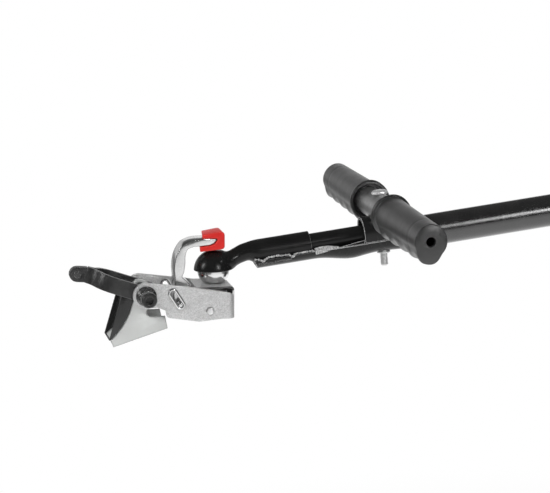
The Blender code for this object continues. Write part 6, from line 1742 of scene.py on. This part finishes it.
def tread():
    """Rows of blocks round the tyre: two in the middle, one on each shoulder."""
    parts = []
    for side in (-1, 1):
        for start, across, radius, size, lean, skew in (
            (0, 0.0032, TYRE_OUT - 0.0022, (0.0080, 0.0050, 0.0022), 0, 0.0014),
            (1, 0.0098, TYRE_OUT - 0.0037, (0.0066, 0.0052, 0.0022), 24, -0.0012),
            (0, 0.0152, TYRE_OUT - 0.0066, (0.0052, 0.0046, 0.0018), 42, 0.0006),
        ):
            stud = placed(tread_block(*size, skew * side), turned(-side * lean, "Y"))
            row = round_axis(stud, TREAD_COUNT, radius, side * across, TYRE)
            shift = (start + (0.5 if side > 0 else 0)) * math.pi / TREAD_COUNT
            parts.append(placed(row, Matrix.Rotation(shift, 4, "Z")))
    return joined(*parts)


print("tyre points:", len(tyre_profile()))

# %% Rim, hub and spokes
RIM_SEAT = 0.1527
RIM_FLANGE = RIM_SEAT + 0.0058
rim_profile = [
    (RIM_FLANGE, 0.0148), (RIM_FLANGE - 0.0004, 0.0156), (RIM_FLANGE - 0.0012, 0.0159),
    (0.1500, 0.0159), (0.1470, 0.0157), (0.1445, 0.0140), (0.1412, 0.0098), (0.1403, 0.0075),
    (0.1400, 0.0040),
]
rim_loop = mirrored(rim_profile[:2] + curve_through(rim_profile[2:], 3))
rim_loop += mirrored([(RIM_FLANGE - 0.0006, 0.0141), (RIM_SEAT, 0.0139)])[::-1]

HUB_AT, HUB_FLANGE, HUB_HALF = 0.020, 0.029, 0.026
hub_half = rounded([
    (0.0155, HUB_HALF), (0.0155, 0.0215), (HUB_FLANGE, 0.0215), (HUB_FLANGE, 0.0185), (0.0155, 0.0185),
    (0.0125, 0.0120), (0.0125, 0.0005),
], 0.0009, closed=False)
hub_bore = mirrored([(0.0138, HUB_HALF), (0.0138, 0.0170), (0.009, 0.0170)])
hub_loop = mirrored(hub_half) + hub_bore[::-1]
SPOKES, SPOKE_LEAN, SPOKE_FROM, SPOKE_TO = 20, math.radians(28), 0.026, 0.1400


def spoke_set():
    """The spokes from the hub's flanges to the rim, and their nipples."""
    wires, nipples = [], []
    for i, turn in enumerate(equal_turns(SPOKES)):
        flange = 1 if i % 2 else -1
        ahead = turn + flange * SPOKE_LEAN
        start = Vector((SPOKE_FROM * math.cos(turn), SPOKE_FROM * math.sin(turn),
                        flange * (HUB_AT + 0.0014)))
        end = Vector((SPOKE_TO * math.cos(ahead), SPOKE_TO * math.sin(ahead), flange * 0.004))
        run = (end - start).normalized()
        hook = start + Vector((0, 0, -flange * 0.0036))
        wires.append(along_path([hook, start + Vector((0, 0, -flange * 0.0006)), start + run * 0.0012,
                                 end], 0.0010, 10))
        head = lathe([(0, 0.0), (0.0017, 0.0004), (0.0020, 0.0010), (0.0017, 0.0016), (0, 0.0018)], 12)
        wires.append(placed(head, moved(start.x, start.y, flange * (HUB_AT - 0.0034))))
        nipple = lathe([(0, 0.0), (0.0024, 0.0), (0.0024, -0.0016), (0.0019, -0.0024),
                        (0.0017, -0.0110), (0.0013, -0.0118), (0, -0.0118)], 12)
        aim = run.to_track_quat("Z", "Y").to_matrix().to_4x4()
        nipples.append(placed(nipple, Matrix.Translation(end + run * 0.0006) @ aim))
    return joined(*wires), joined(*nipples)


for side, suffix in SIDES:
    body = "wheel_" + suffix
    centre = Vector(JOINTS[f"{body}_spin"]["pos_m"])
    WHEEL = Matrix.Translation(centre) @ turned(-90 * side, "X")
    carcass = lathe(tyre_profile(), 144, ring=True)
    piece("tyre_moulded_" + suffix, joined(carcass, tread()), TYRE, body, "tyre_" + suffix, WHEEL, 40)
    rim = lathe(rim_loop, 144, ring=True)
    piece("rim_turned_" + suffix, rim, ALUMINIUM, body, "rim_" + suffix, WHEEL, 35)
    wires, nipples = spoke_set()
    hub = lathe(hub_loop, 96, ring=True)
    piece("hub_turned_" + suffix, hub, ALUMINIUM, body, "hub_and_spokes_" + suffix,
          WHEEL, 35)
    piece("spokes_" + suffix, wires, STEEL, body, matrix=WHEEL, sharp=50)
    piece("nipples_" + suffix, nipples, BOLT_ZINC, body, matrix=WHEEL)
    for end, place in ((-1, "inner"), (1, "outer")):
        low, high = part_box(f"{place}_bearing_{suffix}")
        half = (high.y - low.y) / 2
        bearing = lathe([
            (0.0063, half), (0.0078, half), (0.0079, half - 0.0005), (0.0082, half - 0.0008),
            (0.0117, half - 0.0008), (0.0120, half - 0.0005), (0.0121, half), (0.0132, half),
            (0.0135, half - 0.0004), (0.0135, -half), (0.0063, -half),
        ], 64, ring=True)
        middle = (low + high) / 2
        facing = side * end
        piece(f"{place}_bearing_turned_{suffix}", bearing, STEEL, body, f"{place}_bearing_{suffix}",
              Matrix.Translation(middle) @ turned(-90 * facing, "X"), 30)

# %% Axles and push buttons
for side, suffix in SIDES:
    centre = Vector(JOINTS[f"wheel_{suffix}_spin"]["pos_m"])
    WHEEL = Matrix.Translation(centre) @ turned(-90 * side, "X")
    low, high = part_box("axle_" + suffix)
    tip = max(abs(low.y), abs(high.y)) - abs(centre.y)
    tail = min(abs(low.y), abs(high.y)) - abs(centre.y)
    hub_end = HUB_HALF + GAP
    shoulder = -(abs(centre.y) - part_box("axle_tube")[1].y - GAP)
    button_low, button_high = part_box("button_" + suffix)
    stem = min(abs(button_low.y), abs(button_high.y)) - abs(centre.y)
    cap_top = max(abs(button_low.y), abs(button_high.y)) - abs(centre.y)
    axle = lathe(rounded([
        (0, stem - 0.0033), (0.0043, stem - 0.0033), (0.0043, tip), (0.009, tip), (0.009, hub_end),
        (0.006, hub_end), (0.006, -hub_end), (0.009, -hub_end), (0.009, shoulder), (0.006, shoulder),
        (0.006, tail + 0.006), (0.0054, tail + 0.0055), (0.0054, tail + 0.0035), (0.006, tail + 0.003),
        (0.006, tail), (0, tail),
    ], 0.0007, closed=False), 48)
    piece("axle_turned_" + suffix, axle, BOLT_ZINC, "chassis", "axle_" + suffix, WHEEL)
    button = lathe([
        (0, cap_top - 0.0002), (0.0040, cap_top - 0.0001), (0.0052, cap_top), (0.0060, cap_top - 0.0004),
        (0.0065, cap_top - 0.0010), (0.0065, cap_top - 0.0024), (0.0063, cap_top - 0.0026),
        (0.004, cap_top - 0.0026), (0.004, stem), (0, stem),
    ], 48)
    piece("button_moulded_" + suffix, button, RED, "push_button_" + suffix, "button_" + suffix,
          WHEEL)

# %% [markdown]
# ## Finish

# %% Last cell
import json
